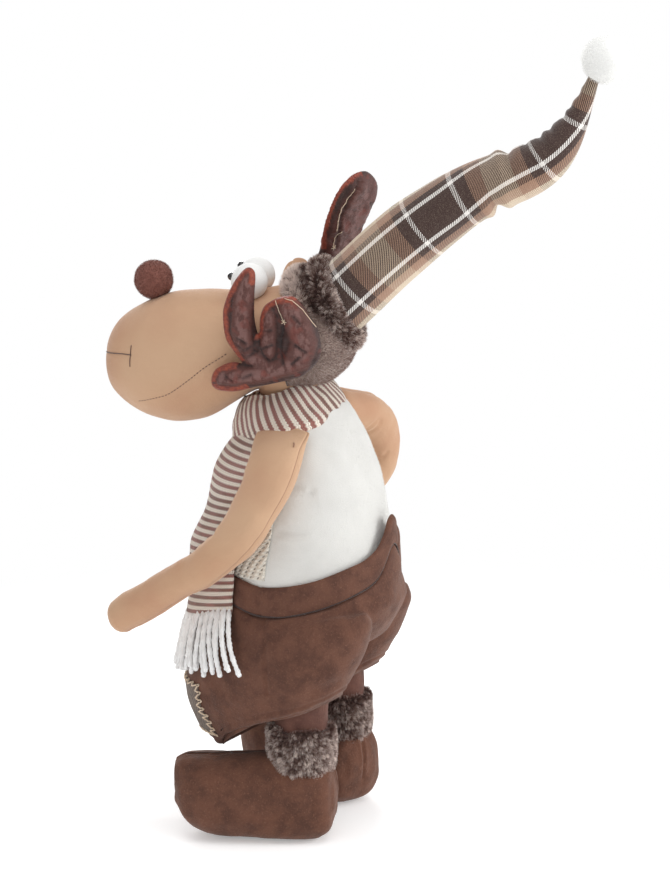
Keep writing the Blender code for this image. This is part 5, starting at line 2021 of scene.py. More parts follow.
    def build(self, shop: Workshop) -> None:
        """Makes both antlers.

        Args:
            shop: What places the pieces.
        """
        left_at = (0.0538, -0.010, HEAD_MIDDLE + 0.015)
        self.one(shop, "left", left_at, (0, 1, 0), (0, 0, 1))
        right_at = (-0.066, 0.034, HEAD_MIDDLE + 0.073)
        far = replace(
            self, outline=self.far_outline, rims=self.far_rims, tubes=self.far_tubes,
            creases=self.far_creases, rim=0.0025,
            thread=((-0.44, 0.10), (-0.47, 0.02), (-0.44, -0.06)),
            edge_thread=((-0.48, 0.5), (-0.54, 0.3), (-0.50, 0.1)),
        )
        far.one(shop, "right", right_at, (-0.86, 0.46, -0.20), (0.0, 0.40, 0.92))

    def one(
        self, shop: Workshop, name: str, at: Sequence[float], ahead: Sequence[float], up: Sequence[float]
    ) -> None:
        """Makes an antler whose face has the directions ahead and up.

        Args:
            shop: What places the pieces.
            name: The side's name.
            at: Its middle.
            ahead: The direction of its outline's first number.
            up: Roughly the direction of the second.
        """
        first, second = Vector(ahead).normalized(), Vector(up)
        second = (second - first * second.dot(first)).normalized()
        turn = Matrix((first, second, first.cross(second))).transposed().to_4x4()
        move = Matrix.Translation(at) @ turn
        mesh, put = self.pillow(f"velvet_antler_{name}")
        work = Needlework()
        work.add(put(self.thread, 0.0003), 0.00028)
        x, y = self.thread[-1]
        for way in (k * 1.26 for k in range(5)):
            end = (x + 0.022 * math.cos(way), y + 0.022 * math.sin(way))
            work.add(put(((x, y), end), 0.0006), 0.00034)
        work.add(put(self.edge_thread, 0.0002), 0.00032)
        thread = work.mesh(f"antler_thread_{name}")
        for each in (mesh, thread):
            each.transform(move)
        nodes = [f"antler_{name}"]
        shop.place(mesh.name, mesh, ANTLER_VELVET, "head", nodes, "antler_velvet", 0.7, True)
        shop.place(f"antler_thread_{name}", thread, CREAM_THREAD, "head", slot="white_yarn", on_head=True)


@dataclass(frozen=True)
class Hat:
    """The long checked hat with its fur brim and its pompom.

    Attributes:
        rows: Shares along it, each with its direction in degrees and its share of the radius.
        seam: Where round it the cloth's pattern is counted from.
        lower_folds: Folds under it, each with its share along, its width and its height.
        upper_folds: The same for folds on top.
        wrinkles: Small folds on top near the tip, each with its share along and its depth.
    """

    length: float = 0.2585
    radius: float = 0.026
    bend: float = 0.55
    pompom: float = 0.0176
    tilt: float = math.radians(25)
    brim_radius: float = 0.0375
    brim_width: float = 0.034
    rows: Rows = (
        (0.0, 44, 1.0), (0.15, 44, 1.0), (0.30, 40, 0.98), (0.42, 36, 0.90), (0.50, 29.5, 0.84),
        (0.562, 23, 0.80), (0.63, 20, 0.765), (0.70, 32, 0.71), (0.76, 46, 0.62), (0.82, 57, 0.50),
        (0.90, 66, 0.31), (1.0, 71, 0.15),
    )
    at: Sequence[float] = (0, 0.028, 0.402)
    seam: float = 0.5 - 4.6 / 360
    lower_folds: Rows = ((0.562, 0.020, -0.0050), (0.535, 0.018, 0.0018), (0.592, 0.016, 0.0014))
    upper_folds: Rows = ((0.640, 0.018, -0.0030), (0.612, 0.016, 0.0022))
    wrinkles: Rows = (
        (0.712, 0.0009), (0.770, 0.0016), (0.812, 0.0010), (0.868, 0.0014), (0.900, 0.0008), (0.945, 0.0007),
    )

    def line(self, samples: int) -> tuple[np.ndarray, np.ndarray, np.ndarray, np.ndarray]:
        """Shares along the hat, its middle line, its direction in radians and its radius.

        Args:
            samples: How many points.

        Returns:
            The four rows of numbers.
        """
        table = np.array(self.rows)
        shares = np.linspace(0, 1, samples)
        angle = np.radians(np.interp(shares, table[:, 0], table[:, 1]))
        radius = self.radius * np.interp(shares, table[:, 0], table[:, 2])
        mean = (angle[1:] + angle[:-1]) / 2
        steps = self.length / (samples - 1) * np.column_stack([0 * mean, np.cos(mean), np.sin(mean)])
        points = np.array(self.at) + np.vstack([np.zeros(3), np.cumsum(steps, 0)])
        return shares, points, angle, radius

    def build(self, shop: Workshop) -> None:
        """Makes the pieces.

        Args:
            shop: What places the pieces.
        """
        sides = 144
        share, points, angle, radius = self.line(221)
        smooth = np.convolve(np.pad(radius, 6, mode="edge"), np.ones(13) / 13, "valid")
        up = np.column_stack([0 * angle, -np.sin(angle), np.cos(angle)])
        across = np.broadcast_to([-1.0, 0, 0], points.shape)
        rings = ellipses(points, across * smooth[:, None], up * smooth[:, None], sides)
        turn = np.degrees(turns(sides))[None, :]
        s = share[:, None]
        below = hump((turn + 180) % 360 - 180, -90, 62)
        above = hump(turn, 95, 75)
        fold = 0
        for folds, facing in ((self.lower_folds, below), (self.upper_folds, above)):
            for at, wide, high in folds:
                fold = fold + high * hump(s, at, wide) * facing
        for at, deep in self.wrinkles:
            fold = fold - deep * hump(s, at, 0.0105) * above
            fold = fold + 0.45 * deep * hump(s, at + 0.022, 0.010) * above
        fold = fold + 0.0009 * cloud(rings, 0.030, 31) * (smooth / self.radius)[:, None]
        twist = np.radians(38) * smooth * step_up(share, 0.42, 0.70)
        rings = rounded(Skin(rings).raised(fold).points, 0.9, 5, start=False)
        skin = Skin(rings, seam=self.seam, twist=np.pad(twist, (0, 5), mode="edge"))
        bend = points[round(self.bend * 220)]
        way = np.array([0, math.cos(self.tilt), math.sin(self.tilt)])
        body = ("hat", "hat_tip", bend - way * 0.012, bend + way * 0.012)
        shop.place("twill_hat", skin, PLAID, body, ["hat_lower", "hat_upper"], "plaid_twill", 0.55, True)
        heading = unit(points[-1] - points[-2])
        at = points[-1] + heading * (self.pompom - 0.0030) + np.array([0, 0.0035, 0])
        ball = ball_skin(self.pompom - 0.0010, at, 36, 64)
        nodes = ["hat_pompom"]
        shop.place("pompom_core", ball, SOFT_BALL, "hat_tip", nodes, "white_yarn", 1.0, True)
        pile = Pile(9000, 0.0019, 0.00010, 0.0, 0.4, pale=0.2)
        shop.furred(
            "pompom_pile", ball, pile, WHITE_PILE, "hat_tip", True, "white_yarn",
            tone=lambda row, column, at: 0.5 + 0 * row,
        )
        self.brim(shop)

    def brim(self, shop: Workshop) -> None:
        """Makes the fur brim: two rolls with a groove between them.

        Args:
            shop: What places the pieces.
        """
        back = np.array([0, math.cos(self.tilt), math.sin(self.tilt)])
        up = np.array([0, -math.sin(self.tilt), math.cos(self.tilt)])
        at = np.array(self.at) - back * self.brim_width * 0.29
        outer = self.brim_radius - 0.0042
        rows = eased((
            (-0.30, 0.70), (-0.46, 0.80), (-0.52, 0.90), (-0.46, 0.99), (-0.30, 1.04), (-0.13, 1.00),
            (0.0, 0.90), (0.11, 0.98), (0.24, 1.03), (0.36, 0.97), (0.42, 0.87), (0.38, 0.76), (0.26, 0.70),
        ), 5)
        turn = turns(120)
        radial = np.cos(turn)[:, None] * np.array([1.0, 0, 0]) + np.sin(turn)[:, None] * up
        centres = at + back * self.brim_width * rows[:, :1]
        skin = Skin(centres[:, None] + radial[None] * outer * rows[:, 1][:, None, None])
        skin = skin.raised(0.0010 * cloud(skin.points, 0.012, 33))
        mesh = skin.mesh("brim_backing", Ends.OPEN)
        shop.place("brim_backing", mesh, FUR_GROUND, "head", ["hat_brim"], "brown_fur", 0.8, True)
        pile = Pile(85000, 0.0060, 0.00024, 0.10, 0.36, 0.66, 0.0027, pale=0.85)

        def tone(row: np.ndarray, _: np.ndarray, at: np.ndarray) -> np.ndarray:
            """Paler in front, with painted shade in the groove between the rolls, and brown behind.

            Args:
                row: Shares of the rows.
                _: Shares of the columns.
                at: Places.

            Returns:
                The tones.
            """
            front = 0.55 * (1 - step_up(row, 0.34, 0.48))
            # Painted shade: the fibres in the groove between the two rolls are darkened.
            groove = -0.85 * hump(row, 0.500, 0.075)
            return 0.12 + front + groove + 0.20 * cloud(at, 0.004, 34)

        shop.furred("brim_pile", skin, pile, FUR, "head", True, tone=tone)


@dataclass(frozen=True)
class Scarf:
    """The striped scarf: a wrap, two tails and their fringes.

    Attributes:
        tight: How much closer the wrap lies behind, so that it clears the head's underside.
        wrap_rows: The wrap's section: shares of its height, and how far out it stands.
        left: The left tail: the share down, the degrees of its two edges round the body, and the
            share of the room that each edge keeps to the body.
        right, left_fringe, right_fringe: The same for the other tail and the fringes.
    """

    tilt: float = math.radians(15)
    middle: Sequence[float] = (0, -0.023, 0.3235)
    height: float = 0.030
    top: float = 0.0325
    foot_width: float = 0.0435
    foot_depth: float = 0.0460
    tight: float = 0.0018
    tail_top: float = 0.293
    tail_foot: float = 0.160
    tail_thick: float = 0.0042
    room: float = 0.015
    skew: float = 0.016
    fringe_length: float = 0.041
    wrap_rows: Rows = (
        (-0.50, 0.93), (-0.53, 1.01), (-0.42, 1.06), (-0.1, 0.83), (0.25, 0.38), (0.38, 0.09), (0.45, -0.06),
        (0.42, -0.16),
    )
    left: Rows = (
        (-0.09, -27, -79, 0.40, 0.55), (0.0, -23, -78, 0.50, 0.80), (0.18, -20, -76, 0.40, 1.0),
        (0.42, -22, -74, 0.34, 1.05), (0.66, -19, -73, 0.33, 0.95), (0.84, -18, -72, 0.33, 0.85),
        (1.0, -18, -70, 0.37, 0.90),
    )
    right: Rows = (
        (-0.09, -83, -117, 0.45, 0.45), (0.0, -82, -118, 0.64, 0.64), (0.18, -80, -121, 0.42, 0.42),
        (0.42, -78, -124, 0.38, 0.38), (0.68, -77, -124, 0.52, 0.54), (0.84, -76, -124, 0.62, 0.66),
        (1.0, -76, -124, 0.87, 1.12),
    )
    left_fringe: Rows = (
        (0.0, -19, -70, 0.42, 0.94), (0.30, -14, -69, 1.0, 1.12), (0.65, -8, -68, 1.5, 1.26),
        (1.0, -3, -69, 1.72, 1.42),
    )
    right_fringe: Rows = (
        (0.0, -76, -124, 0.9, 1.16), (0.35, -75, -125, 1.05, 1.65), (0.70, -74, -126, 1.2, 1.85),
        (1.0, -73, -127, 1.3, 1.95),
    )

    def build(self, shop: Workshop) -> None:
        """Makes the pieces.

        Args:
            shop: What places the pieces.
        """
        back = np.array([0, math.cos(self.tilt), math.sin(self.tilt)])
        up = np.array([0, -math.sin(self.tilt), math.cos(self.tilt)])
        rows = eased(self.wrap_rows, 7)
        tight = self.tight * np.clip(rows[:, 1:], 0, 1)
        centres = np.array(self.middle) + up * self.height * rows[:, :1] - back * tight
        wide = self.top + rows[:, 1] * (self.foot_width - self.top)
        deep = self.top + rows[:, 1] * (self.foot_depth - self.top) - tight[:, 0]
        across = np.column_stack([wide, 0 * wide, 0 * wide])
        skin = Skin(ellipses(centres, -across, back * deep[:, None], 160), even=True)
        p = skin.points
        fold = 0.0016 * cloud(p * [1, 1, 0.5], 0.016, 41) + 0.0007 * cloud(p, 0.007, 42)
        pinch = groove_at(p, np.array([(3.3, -50.8, 328), (10, -50, 333)]) * MM, 0.0045)
        tucked = groove_at(p, np.array([(38, -26, 311), (40, 12, 314)]) * MM, 0.014)
        skin = skin.raised(fold - 0.003 * pinch + 0.0035 * tucked)
        mesh = skin.mesh("knit_wrap", Ends.OPEN)
        shop.place("knit_wrap", mesh, WRAP_KNIT, "body", ["scarf_wrap"], "scarf_knit", 0.5)
        self.tail(shop, "left", self.left, self.left_fringe, self.skew)
        self.tail(shop, "right", self.right, self.right_fringe, 0.0)

    def draped(
        self, rows: Rows, top: float, foot: float, skews: tuple[float, float], steps: int, across: np.ndarray
    ) -> np.ndarray:
        """Points of a cloth that hangs in front of the body, rows by columns.

        Args:
            rows: The shares and edges, as the class lists them.
            top: The height of its top.
            foot: The height of its foot.
            skews: How much higher its first edge is, at top and foot.
            steps: Rows for each listed row.
            across: The columns' shares from edge to edge.

        Returns:
            The points.
        """
        drop, first, last, near, far = eased(rows, steps).T[:, :, None]
        level = top + drop * (foot - top)
        skew = skews[0] + np.maximum(drop, 0) * (skews[1] - skews[0])
        z = level + skew * (1 - across)
        turn = np.radians(first + across * (last - first))
        return BODY.around(z, turn, self.room * (near + across * (far - near)))

    def tail(self, shop: Workshop, name: str, rows: Rows, fringe: Rows, skew: float) -> None:
        """Makes one tail and its fringe.

        Args:
            shop: What places the pieces.
            name: The side's name.
            rows: The tail's rows.
            fringe: The fringe's rows.
            skew: How much higher the foot's first edge is.
        """
        share = np.linspace(0, 1, 30)[None, :]
        inner = self.draped(rows, self.tail_top, self.tail_foot, (0, skew), 12, share)
        sheet = Skin(inner, wraps=False)
        normals = sheet.normals()
        facing = np.sign((normals * unit(inner * [1, 1, 0])).sum(-1).mean())
        ripple = 0.0012 * np.sin(inner[..., 2:] * 95 + share[..., None] * 7)
        ripple = ripple + 0.0009 * cloud(inner, 0.02, 43)[..., None]
        inner = inner + normals * facing * ripple
        soft = np.sqrt(np.clip(1 - np.abs(2 * share - 1) ** 8, 0.05, 1))[..., None]
        middle = inner + normals * facing * self.tail_thick / 2
        off = normals * facing * self.tail_thick * 0.42 * soft
        skin = Skin(np.concatenate([middle + off, (middle - off)[:, ::-1]], 1))
        size = sheet.cloth()[..., 0].mean(0)[-1], sheet.cloth()[..., 1].max()
        body, nodes = f"{name}_scarf_tail", [f"scarf_tail_{name}"]
        piece = shop.place(f"knit_tail_{name}", skin, SCARF_KNIT, body, nodes, "scarf_knit")
        head = self.tail_foot - BODY.gap
        count = 24
        places = (np.arange(count) + 0.5) / count
        work = Needlework()
        lines = self.draped(fringe, head + 0.004, head - self.fringe_length, (skew, skew), 8, places[None, :])
        for k in range(count):
            line = lines[:, k]
            drop = np.linspace(0, 1, len(line))
            out = unit(line * [1, 1, 0])
            side = np.cross(out, [0, 0, 1.0])
            layer = (k % 2) * 0.0026 + 0.0006 * shop.rng.normal()
            phase, sway = shop.rng.random() * math.tau, 0.0010 + 0.0012 * shop.rng.random()
            line = line + out * (layer * (0.4 + drop))[:, None]
            line = line + side * (sway * drop * np.sin(phase + 7 * drop))[:, None]
            stop = len(line) - int(shop.rng.integers(0, 4))
            path = spaced(line[:stop], 40)
            thick = 0.00175 * (1 + 0.10 * np.sin(np.linspace(0, 30, 40) + phase))
            thick[:3] *= 0.8
            work.add(path, thick, 3, 0.011, 12)
        yarns = shop.place(f"yarn_fringe_{name}", work, YARN, body, [f"fringe_{name}"], "white_yarn")


@dataclass(frozen=True)
class Arms:
    """The two stuffed arms, each one piece with a bend at the elbow.

    Attributes:
        splay: How far the left arm's plane leans out.
        shoulder: The left shoulder in that plane: towards the back, and up.
        upper: The left upper arm: shares along it, of its width and thickness, and its bow.
        fore: A forearm: shares along it and of its radius.
        elbow_folds: Creases inside an elbow: their way along the arm, depth and width.
        mark: The small stitch on the left shoulder, in millimetres.
        folds: Creases behind the right arm, in millimetres.
    """

    splay: float = math.radians(19)
    plane_out: float = 0.0594
    plane_z: float = 0.258
    half_width: float = 0.0192
    half_thick: float = 0.014
    elbow: float = 0.0142
    lean: float = math.radians(23.5)
    drop: float = math.radians(33.5)
    shoulder: Sequence[float] = (0.0015, 0.0350)
    upper_length: float = 0.0757
    fore_length: float = 0.112
    right_shoulder: Sequence[float] = (-0.0485, -0.006, 0.311)
    right_upper: float = 0.0670
    right_fore: float = 0.0640
    right_radius: float = 0.0165
    right_bow: float = 0.0060
    upper: Rows = (
        (-0.31, 1.08, 0.16, -0.235), (-0.216, 1.10, 0.42, -0.198), (-0.10, 1.07, 0.68, -0.148),
        (0.015, 1.04, 0.85, -0.098), (0.22, 1.01, 0.97, -0.035), (0.52, 0.94, 1.0, -0.012),
        (0.84, 0.88, 1.0, -0.020),
    )
    fore: Rows = ((0.22, 0.99), (0.45, 0.965), (0.7, 0.96), (0.88, 0.98), (1.0, 0.92))
    elbow_folds: Rows = ((0, 0.0044, 0.0040), (0.010, 0.0012, 0.0028), (-0.009, 0.0010, 0.0026))
    mark: Rows = ((61.0, 10.5, 314.5), (61.6, 10.6, 311.8), (62.4, 10.8, 308.8))
    folds: Sequence[Rows] = (
        ((-66, 3, 300), (-66, 15, 298), (-66, 27, 300)), ((-68, 7, 290), (-68, 19, 291), (-68, 31, 297)),
        ((-72, 16, 265), (-72, 26, 263), (-72, 34, 265)),
    )

    def in_plane(self, y: float, up: float, out: float) -> np.ndarray:
        """A point in the left arm's splayed plane."""
        s, c = math.sin(self.splay), math.cos(self.splay)
        return np.array([self.plane_out + out * c - up * s, y, self.plane_z + up * c + out * s])

    def build(self, shop: Workshop) -> None:
        """Makes both arms.

        Args:
            shop: What places the pieces.
        """
        out = self.half_thick + 0.0004
        shoulder_yz, length = np.array(self.shoulder), self.upper_length
        lean = np.array([-math.sin(self.lean), -math.cos(self.lean)])
        shoulder, elbow = (self.in_plane(*(shoulder_yz + lean * along), out) for along in (0, length))
        normal = np.array([math.cos(self.splay), 0, math.sin(self.splay)])
        rows = []
        for along, wide, thick, bow in self.upper:
            yz = shoulder_yz + lean * along * length + np.array([bow * length, 0])
            out = thick * self.half_thick + 0.0004
            rows.append([*self.in_plane(*yz, out), wide * self.half_width, thick * self.half_thick, *normal])
        reach = np.array([0, -math.cos(self.drop), -math.sin(self.drop)])
        for along, wide in self.fore:
            point = elbow + reach * along * self.fore_length
            rows.append([*point, wide * self.elbow, wide * self.elbow, 1, 0, 0])
        self.one(shop, "left", np.array(rows), elbow, unit(elbow - shoulder), reach)
        shoulder = np.array(self.right_shoulder)
        way, bent = unit([-0.52, 0.12, -0.34]), unit([0.24, -0.26, -0.54])
        elbow = shoulder + self.right_upper * way
        normal = unit(np.cross(way, bent))
        lift = unit(np.cross(normal, way))
        lift = lift if lift[2] > 0 else -lift
        rows = []
        for along, bow, wide in ((0.0, 0.0, 1.0), (0.25, 0.09, 1.0), (0.5, 0.13, 1.02), (0.80, 0.07, 1.02)):
            point = shoulder + self.right_upper * (along * way + bow * lift)
            rows.append([*point, wide * self.right_radius, wide * self.right_radius, *normal])
        for along, wide in self.fore:
            full = wide * self.elbow * (1.16 - 0.16 * along)
            bow = self.right_bow * math.sin(math.pi * along) * unit([-0.35, 0.9, 0.1])
            rows.append([*(elbow + bent * along * self.right_fore + bow), full, full, *normal])
        self.one(shop, "right", np.array(rows), elbow, way, bent)

    def one(
        self, shop: Workshop, name: str, rows: np.ndarray, elbow: np.ndarray, way: np.ndarray,
        bent: np.ndarray,
    ) -> None:
        """Makes an arm from its rows of path, half width, half thickness and normal.

        Args:
            shop: What places its pieces.
            name: Which arm.
            rows: From the shoulder to the hand.
            elbow: The place of the bend.
            way: The upper arm's direction.
            bent: The forearm's direction.
        """
        path = spaced(eased(rows, 14), 110)
        rings = tube(path[:, :3], path[:, 3], path[:, 4], path[:, 5:8], 96)
        rings = rounded(rings, 0.3 if name == "left" else 0.95, 9, end=False)
        rings = rounded(rings, 0.85, 8, start=False)
        skin = Skin(rings)
        p = skin.points
        height = 0.0009 * cloud(p, 0.020, 51) + 0.0004 * cloud(p, 0.008, 52)
        across = unit(np.cross(way, bent))
        inner = unit(bent - way)
        for shift, deep, wide in self.elbow_folds:
            middle = elbow + unit(way + bent) * (shift + 0.004) + inner * (self.elbow + 0.001)
            line = np.array([middle - across * 0.009, middle + inner * 0.001, middle + across * 0.009])
            height = height - deep * groove_at(p, line, wide)
        for fold in self.folds if name == "right" else ():
            height = height - 0.0013 * groove_at(p, touching(p, fold), 0.0020)
        skin = skin.raised(height)
        columns = skin.points.shape[1]
        back = int((skin.normals() @ -inner).mean(0).argmax())
        turn = (np.arange(columns) - back + columns / 2) % columns - columns / 2
        skin = skin.raised(-0.0007 * hump(turn, 0, 1.3)[None, :])
        mesh = skin.mesh(f"suede_arm_{name}")
        line = skin.points[8:-6, back]
        middle = unit(way + bent)
        body = (f"{name}_upper_arm", f"{name}_forearm", elbow - middle * 0.010, elbow + middle * 0.010)
        nodes = [f"upper_arm_{name}", f"forearm_{name}"]
        shop.place(f"suede_arm_{name}", mesh, TAN, body, nodes, "tan_suede", 0.85)
        out = skin.normals()[8:-6, back]
        threads = [(spaced(line - out * 0.0001, 160), 0.00030)]
        if name == "left":
            shift = np.array(shop.shift)
            mark = laid_on(surface_of(mesh), np.array(self.mark) * MM + shift, 0.0003)
            threads.append((mark - shift, 0.0006))
        shop.sewn(f"arm_seam_{name}", SEAM_TAN, body, "tan_suede", *threads)


@dataclass(frozen=True)
class Trousers:
    """The felt trousers with their waistband and the knee patch.

    Attributes:
        tube: A leg's sections, as slanted() takes them.
        hem: The hollow in a leg, as slanted() takes it.
        sack: The seat's sections, as slanted() takes them.
        dart: The seam down each side, in millimetres.
        pleats: Soft folds of both sides, in millimetres, each with its depth.
        hem_roll: How far the folded hem stands in, and how far up, row by row.
        hem_lift: How far the outer side of each hem rises.
        patch_turn: Where round the left leg the knee patch sits.
        patch_at: The patch's middle, in depth and height.
    """

    leg_x: float = 0.043
    leg_step: float = 0.0045
    band: float = 0.0215
    back_rise: float = 0.024
    front_rise: float = 0.009
    peak: float = 0.024
    voxel: float = 0.0015
    tube: Rows = (
        (0.015, 0.523, 0.80, 0.79, 0.482), (0.06, 0.582, 0.895, 0.84, 0.401),
        (0.086, 0.669, 0.985, 0.90, 0.314), (0.064, 0.78, 1.035, 0.92, 0.251),
        (0.01, 0.88, 1.02, 0.86, 0.20), (-0.03, 0.95, 0.93, 0.70, 0.187),
    )
    hem: Rows = (
        (0.015, 0.521, 0.80, 0.79, 0.482), (0.06, 0.582, 0.885, 0.83, 0.401), (0.07, 0.635, 0.81, 0.74, 0.35),
    )
    sack: Rows = (
        (0.02, 0.705, 0.55, 0.55, 0.30), (0.03, 0.75, 0.90, 0.93, 0.28), (0.045, 0.805, 1.02, 1.12, 0.25),
        (0.015, 0.87, 1.065, 1.185, 0.215), (-0.03, 0.94, 1.07, 1.15, 0.187),
    )
    dart: Rows = ((70.4, -11, 173.5), (79.8, -5.6, 154.4), (82, -3.8, 136), (80.6, -3.8, 118.6))
    pleats: Sequence[tuple[Rows, float]] = (
        (((79, -30, 128), (72, -55, 112)), 0.0016), (((78, 20, 146), (70, 40, 140)), 0.0015),
        (((66, -64, 138), (74, -40, 146)), 0.0014), (((72, 30, 124), (60, 44, 128)), 0.0014),
    )
    hem_roll: Rows = (
        (0.0014, 0.0040), (0.0011, -0.0004), (0.0008, -0.0022), (-0.0004, -0.0026), (-0.0012, 0.0030),
    )
    hem_lift: float = 0.0085
    hem_level: float = 0.066
    hem_front: float = -0.085
    hem_slope: float = 0.42
    patch_width: float = 0.046
    patch_height: float = 0.040
    patch_turn: float = math.radians(-72)
    patch_at: Sequence[float] = (-0.040, 0.0935)

    def rise(self, turn: np.ndarray) -> np.ndarray:
        """The height of the seam under the waistband at each turn.

        Args:
            turn: Angles round the body.

        Returns:
            The heights.
        """
        back, front = np.maximum(np.sin(turn), 0), np.maximum(-np.sin(turn), 0)
        peak = np.exp(-(((turn - math.pi / 2) / math.radians(13)) ** 2))
        lift = 1 - np.exp(-((front / 0.36) ** 2))
        return BODY.seam + self.back_rise * back**2 + self.front_rise * lift + self.peak * peak

    def waist(self, turn: np.ndarray, up: float, grow: float) -> np.ndarray:
        """A ring round the waist that follows the seam, some way above it and off the body.

        Args:
            turn: Angles round the body.
            up: How far above the seam.
            grow: How far off the body.

        Returns:
            The ring's points.
        """
        y, width, depth = BODY.ellipse(BODY.seam)
        x = (width + grow) * np.cos(turn)
        return np.column_stack([x, y + (depth + grow) * np.sin(turn), self.rise(turn) + up])

    def slanted(self, rows: np.ndarray, side: int, shrink: float, sides: int) -> np.ndarray:
        """Rings that slope as the trousers' legs do.

        Args:
            rows: Shares of the way ahead, up, of the half depth and half width, and a slope.
            side: 1 for the left leg, -1 for the right one, and 0 for the seat.
            shrink: How far inside these sizes the rings are.
            sides: Points round a ring.

        Returns:
            The rings.
        """
        ahead, up, long, wide, slope = np.array(rows).T
        y = -BODY.ahead - ahead * BODY.half_depth + side * self.leg_step * np.maximum(0, 1.5 - up)
        base = self.leg_x if side else BODY.half_width
        long, wide = long * BODY.half_depth - shrink, wide * base - shrink
        centres = np.column_stack([side * self.leg_x + 0 * y, y, up * BODY.seam])
        across = np.column_stack([wide, 0 * y, 0 * y])
        along = np.column_stack([0 * y, long * np.cos(slope), long * np.sin(slope)])
        return ellipses(centres, across, along, sides)

    def build(self, shop: Workshop) -> None:
        """Makes the pieces.

        Args:
            shop: What places the pieces.
        """
        sides = 160
        turn = turns(sides)
        top = [self.waist(turn, 0.0, BODY.felt + BODY.gap), self.waist(turn, 0.001, -0.002)]
        seat = np.concatenate([self.slanted(eased(self.sack, 6), 0, 0, sides), np.array(top)])
        parts = [Skin(rounded(seat, 0.15, 4))]
        for side, _ in SIDES:
            parts.append(Skin(rounded(self.slanted(eased(self.tube, 6), side, 0, 128), 0.10, 3)))
        shape = bmesh.new()
        for number, part in enumerate(parts):
            mesh = part.mesh(f"felt_part_{number}")
            shape.from_mesh(mesh)
            bpy.data.meshes.remove(mesh)
        mesh = bpy.data.meshes.new("felt_trousers")
        shape.to_mesh(mesh)
        shape.free()
        holder = linked("felt_holder", mesh)
        remesh = holder.modifiers.new("voxels", "REMESH")
        remesh.mode, remesh.voxel_size = "VOXEL", self.voxel
        smooth = holder.modifiers.new("smooth", "SMOOTH")
        smooth.factor, smooth.iterations = 0.5, 7
        graph = bpy.context.evaluated_depsgraph_get()
        solid = bpy.data.meshes.new_from_object(holder.evaluated_get(graph))
        bpy.data.objects.remove(holder)
        count = len(solid.vertices)
        place, out = np.empty(3 * count), np.empty(3 * count)
        solid.vertices.foreach_get("co", place)
        solid.vertices.foreach_get("normal", out)
        place, out = place.reshape(-1, 3), out.reshape(-1, 3)
        height = 0.0012 * cloud(place, 0.028, 61) + 0.0006 * cloud(place, 0.011, 62)
        dart = np.array(self.dart) * MM
        for side, _ in SIDES:
            height = height - 0.0017 * groove_at(place, dart * [side, 1, 1], 0.0017)
        for side, _ in SIDES:
            edge = self.slanted(eased(self.tube, 6)[2:3], side, 0, 96)[0]
            height = height - 0.0009 * groove_at(place, np.vstack([edge, edge[:1]]), 0.0013)
        ring = self.waist(np.linspace(0, math.tau, 181), 0.0002, BODY.felt + 0.0006)
        height = height - 0.0012 * groove_at(place, ring, 0.0016)
        for line, deep in self.pleats:
            for side, _ in SIDES:
                height = height - deep * groove_at(place, np.array(line) * MM * [side, 1, 1], 0.005)
        place = self.lifted(place + out * height[:, None])
        solid.vertices.foreach_set("co", place.ravel())
        solid = self.hollowed(solid)
        solid.shade_smooth()
        tree = surface_of(solid)
        solid.materials.clear()
        shop.place("felt_trousers", solid, TROUSER_FELT, "body", ["trousers"], "brown_felt", 0.6)
        for side, name in SIDES:
            low = self.slanted(self.hem[:1], side, BODY.felt + 0.0018, 96)[0]
            out = unit((low - low.mean(0)) * [1, 1, 0])
            rings = np.array([low + out * -inward + [0, 0, up] for inward, up in self.hem_roll])
            fold = Skin(self.lifted(rings)).raised(0.0004 * cloud(rings, 0.012, 65))
            label = f"felt_hem_{name}"
            shop.place(label, fold.mesh(label, Ends.OPEN), TROUSER_FELT, "body", slot="brown_felt")
        self.belt(shop)
        self.knee(shop, tree)

    def hollowed(self, solid: bpy.types.Mesh) -> bpy.types.Mesh:
        """The trousers with the hems' openings cut out.

        Args:
            solid: The full trousers.

        Returns:
            A new mesh.
        """
        holder, cutters = linked("felt_holder", solid), []
        for side, name in SIDES:
            rings = self.slanted(eased(self.hem, 6), side, BODY.felt + 0.0012, 96)
            below = rings[:1] - np.array([0, 0, 0.012])
            space = Skin(rounded(np.concatenate([below, rings]), 0.2, 4, start=False))
            cutters.append(linked(f"hem_space_{name}", space.mesh(f"hem_space_{name}")))
            cut = holder.modifiers.new(name, "BOOLEAN")
            cut.operation, cut.solver, cut.object = "DIFFERENCE", "EXACT", cutters[-1]
        graph = bpy.context.evaluated_depsgraph_get()
        cut_out = bpy.data.meshes.new_from_object(holder.evaluated_get(graph))
        for each in (holder, *cutters):
            bpy.data.objects.remove(each)
        return cut_out

    def lifted(self, points: np.ndarray) -> np.ndarray:
        """Points with the legs' outer sides raised towards the front of their hems.

        Args:
            points: The places, with their coordinates last.

        Returns:
            The moved places.
        """
        x, y, z = np.abs(points[..., 0]), points[..., 1], points[..., 2]
        near = step_up(x, self.leg_x + 0.006, self.leg_x + 0.034)
        level = self.hem_level + (y - self.hem_front) * self.hem_slope
        low = 1 - step_up(z - level, 0.0, 0.034)
        ahead = 1 - step_up(y, -0.022, 0.026)
        return points + (self.hem_lift * near * low * ahead)[..., None] * np.array([0, 0, 1.0])

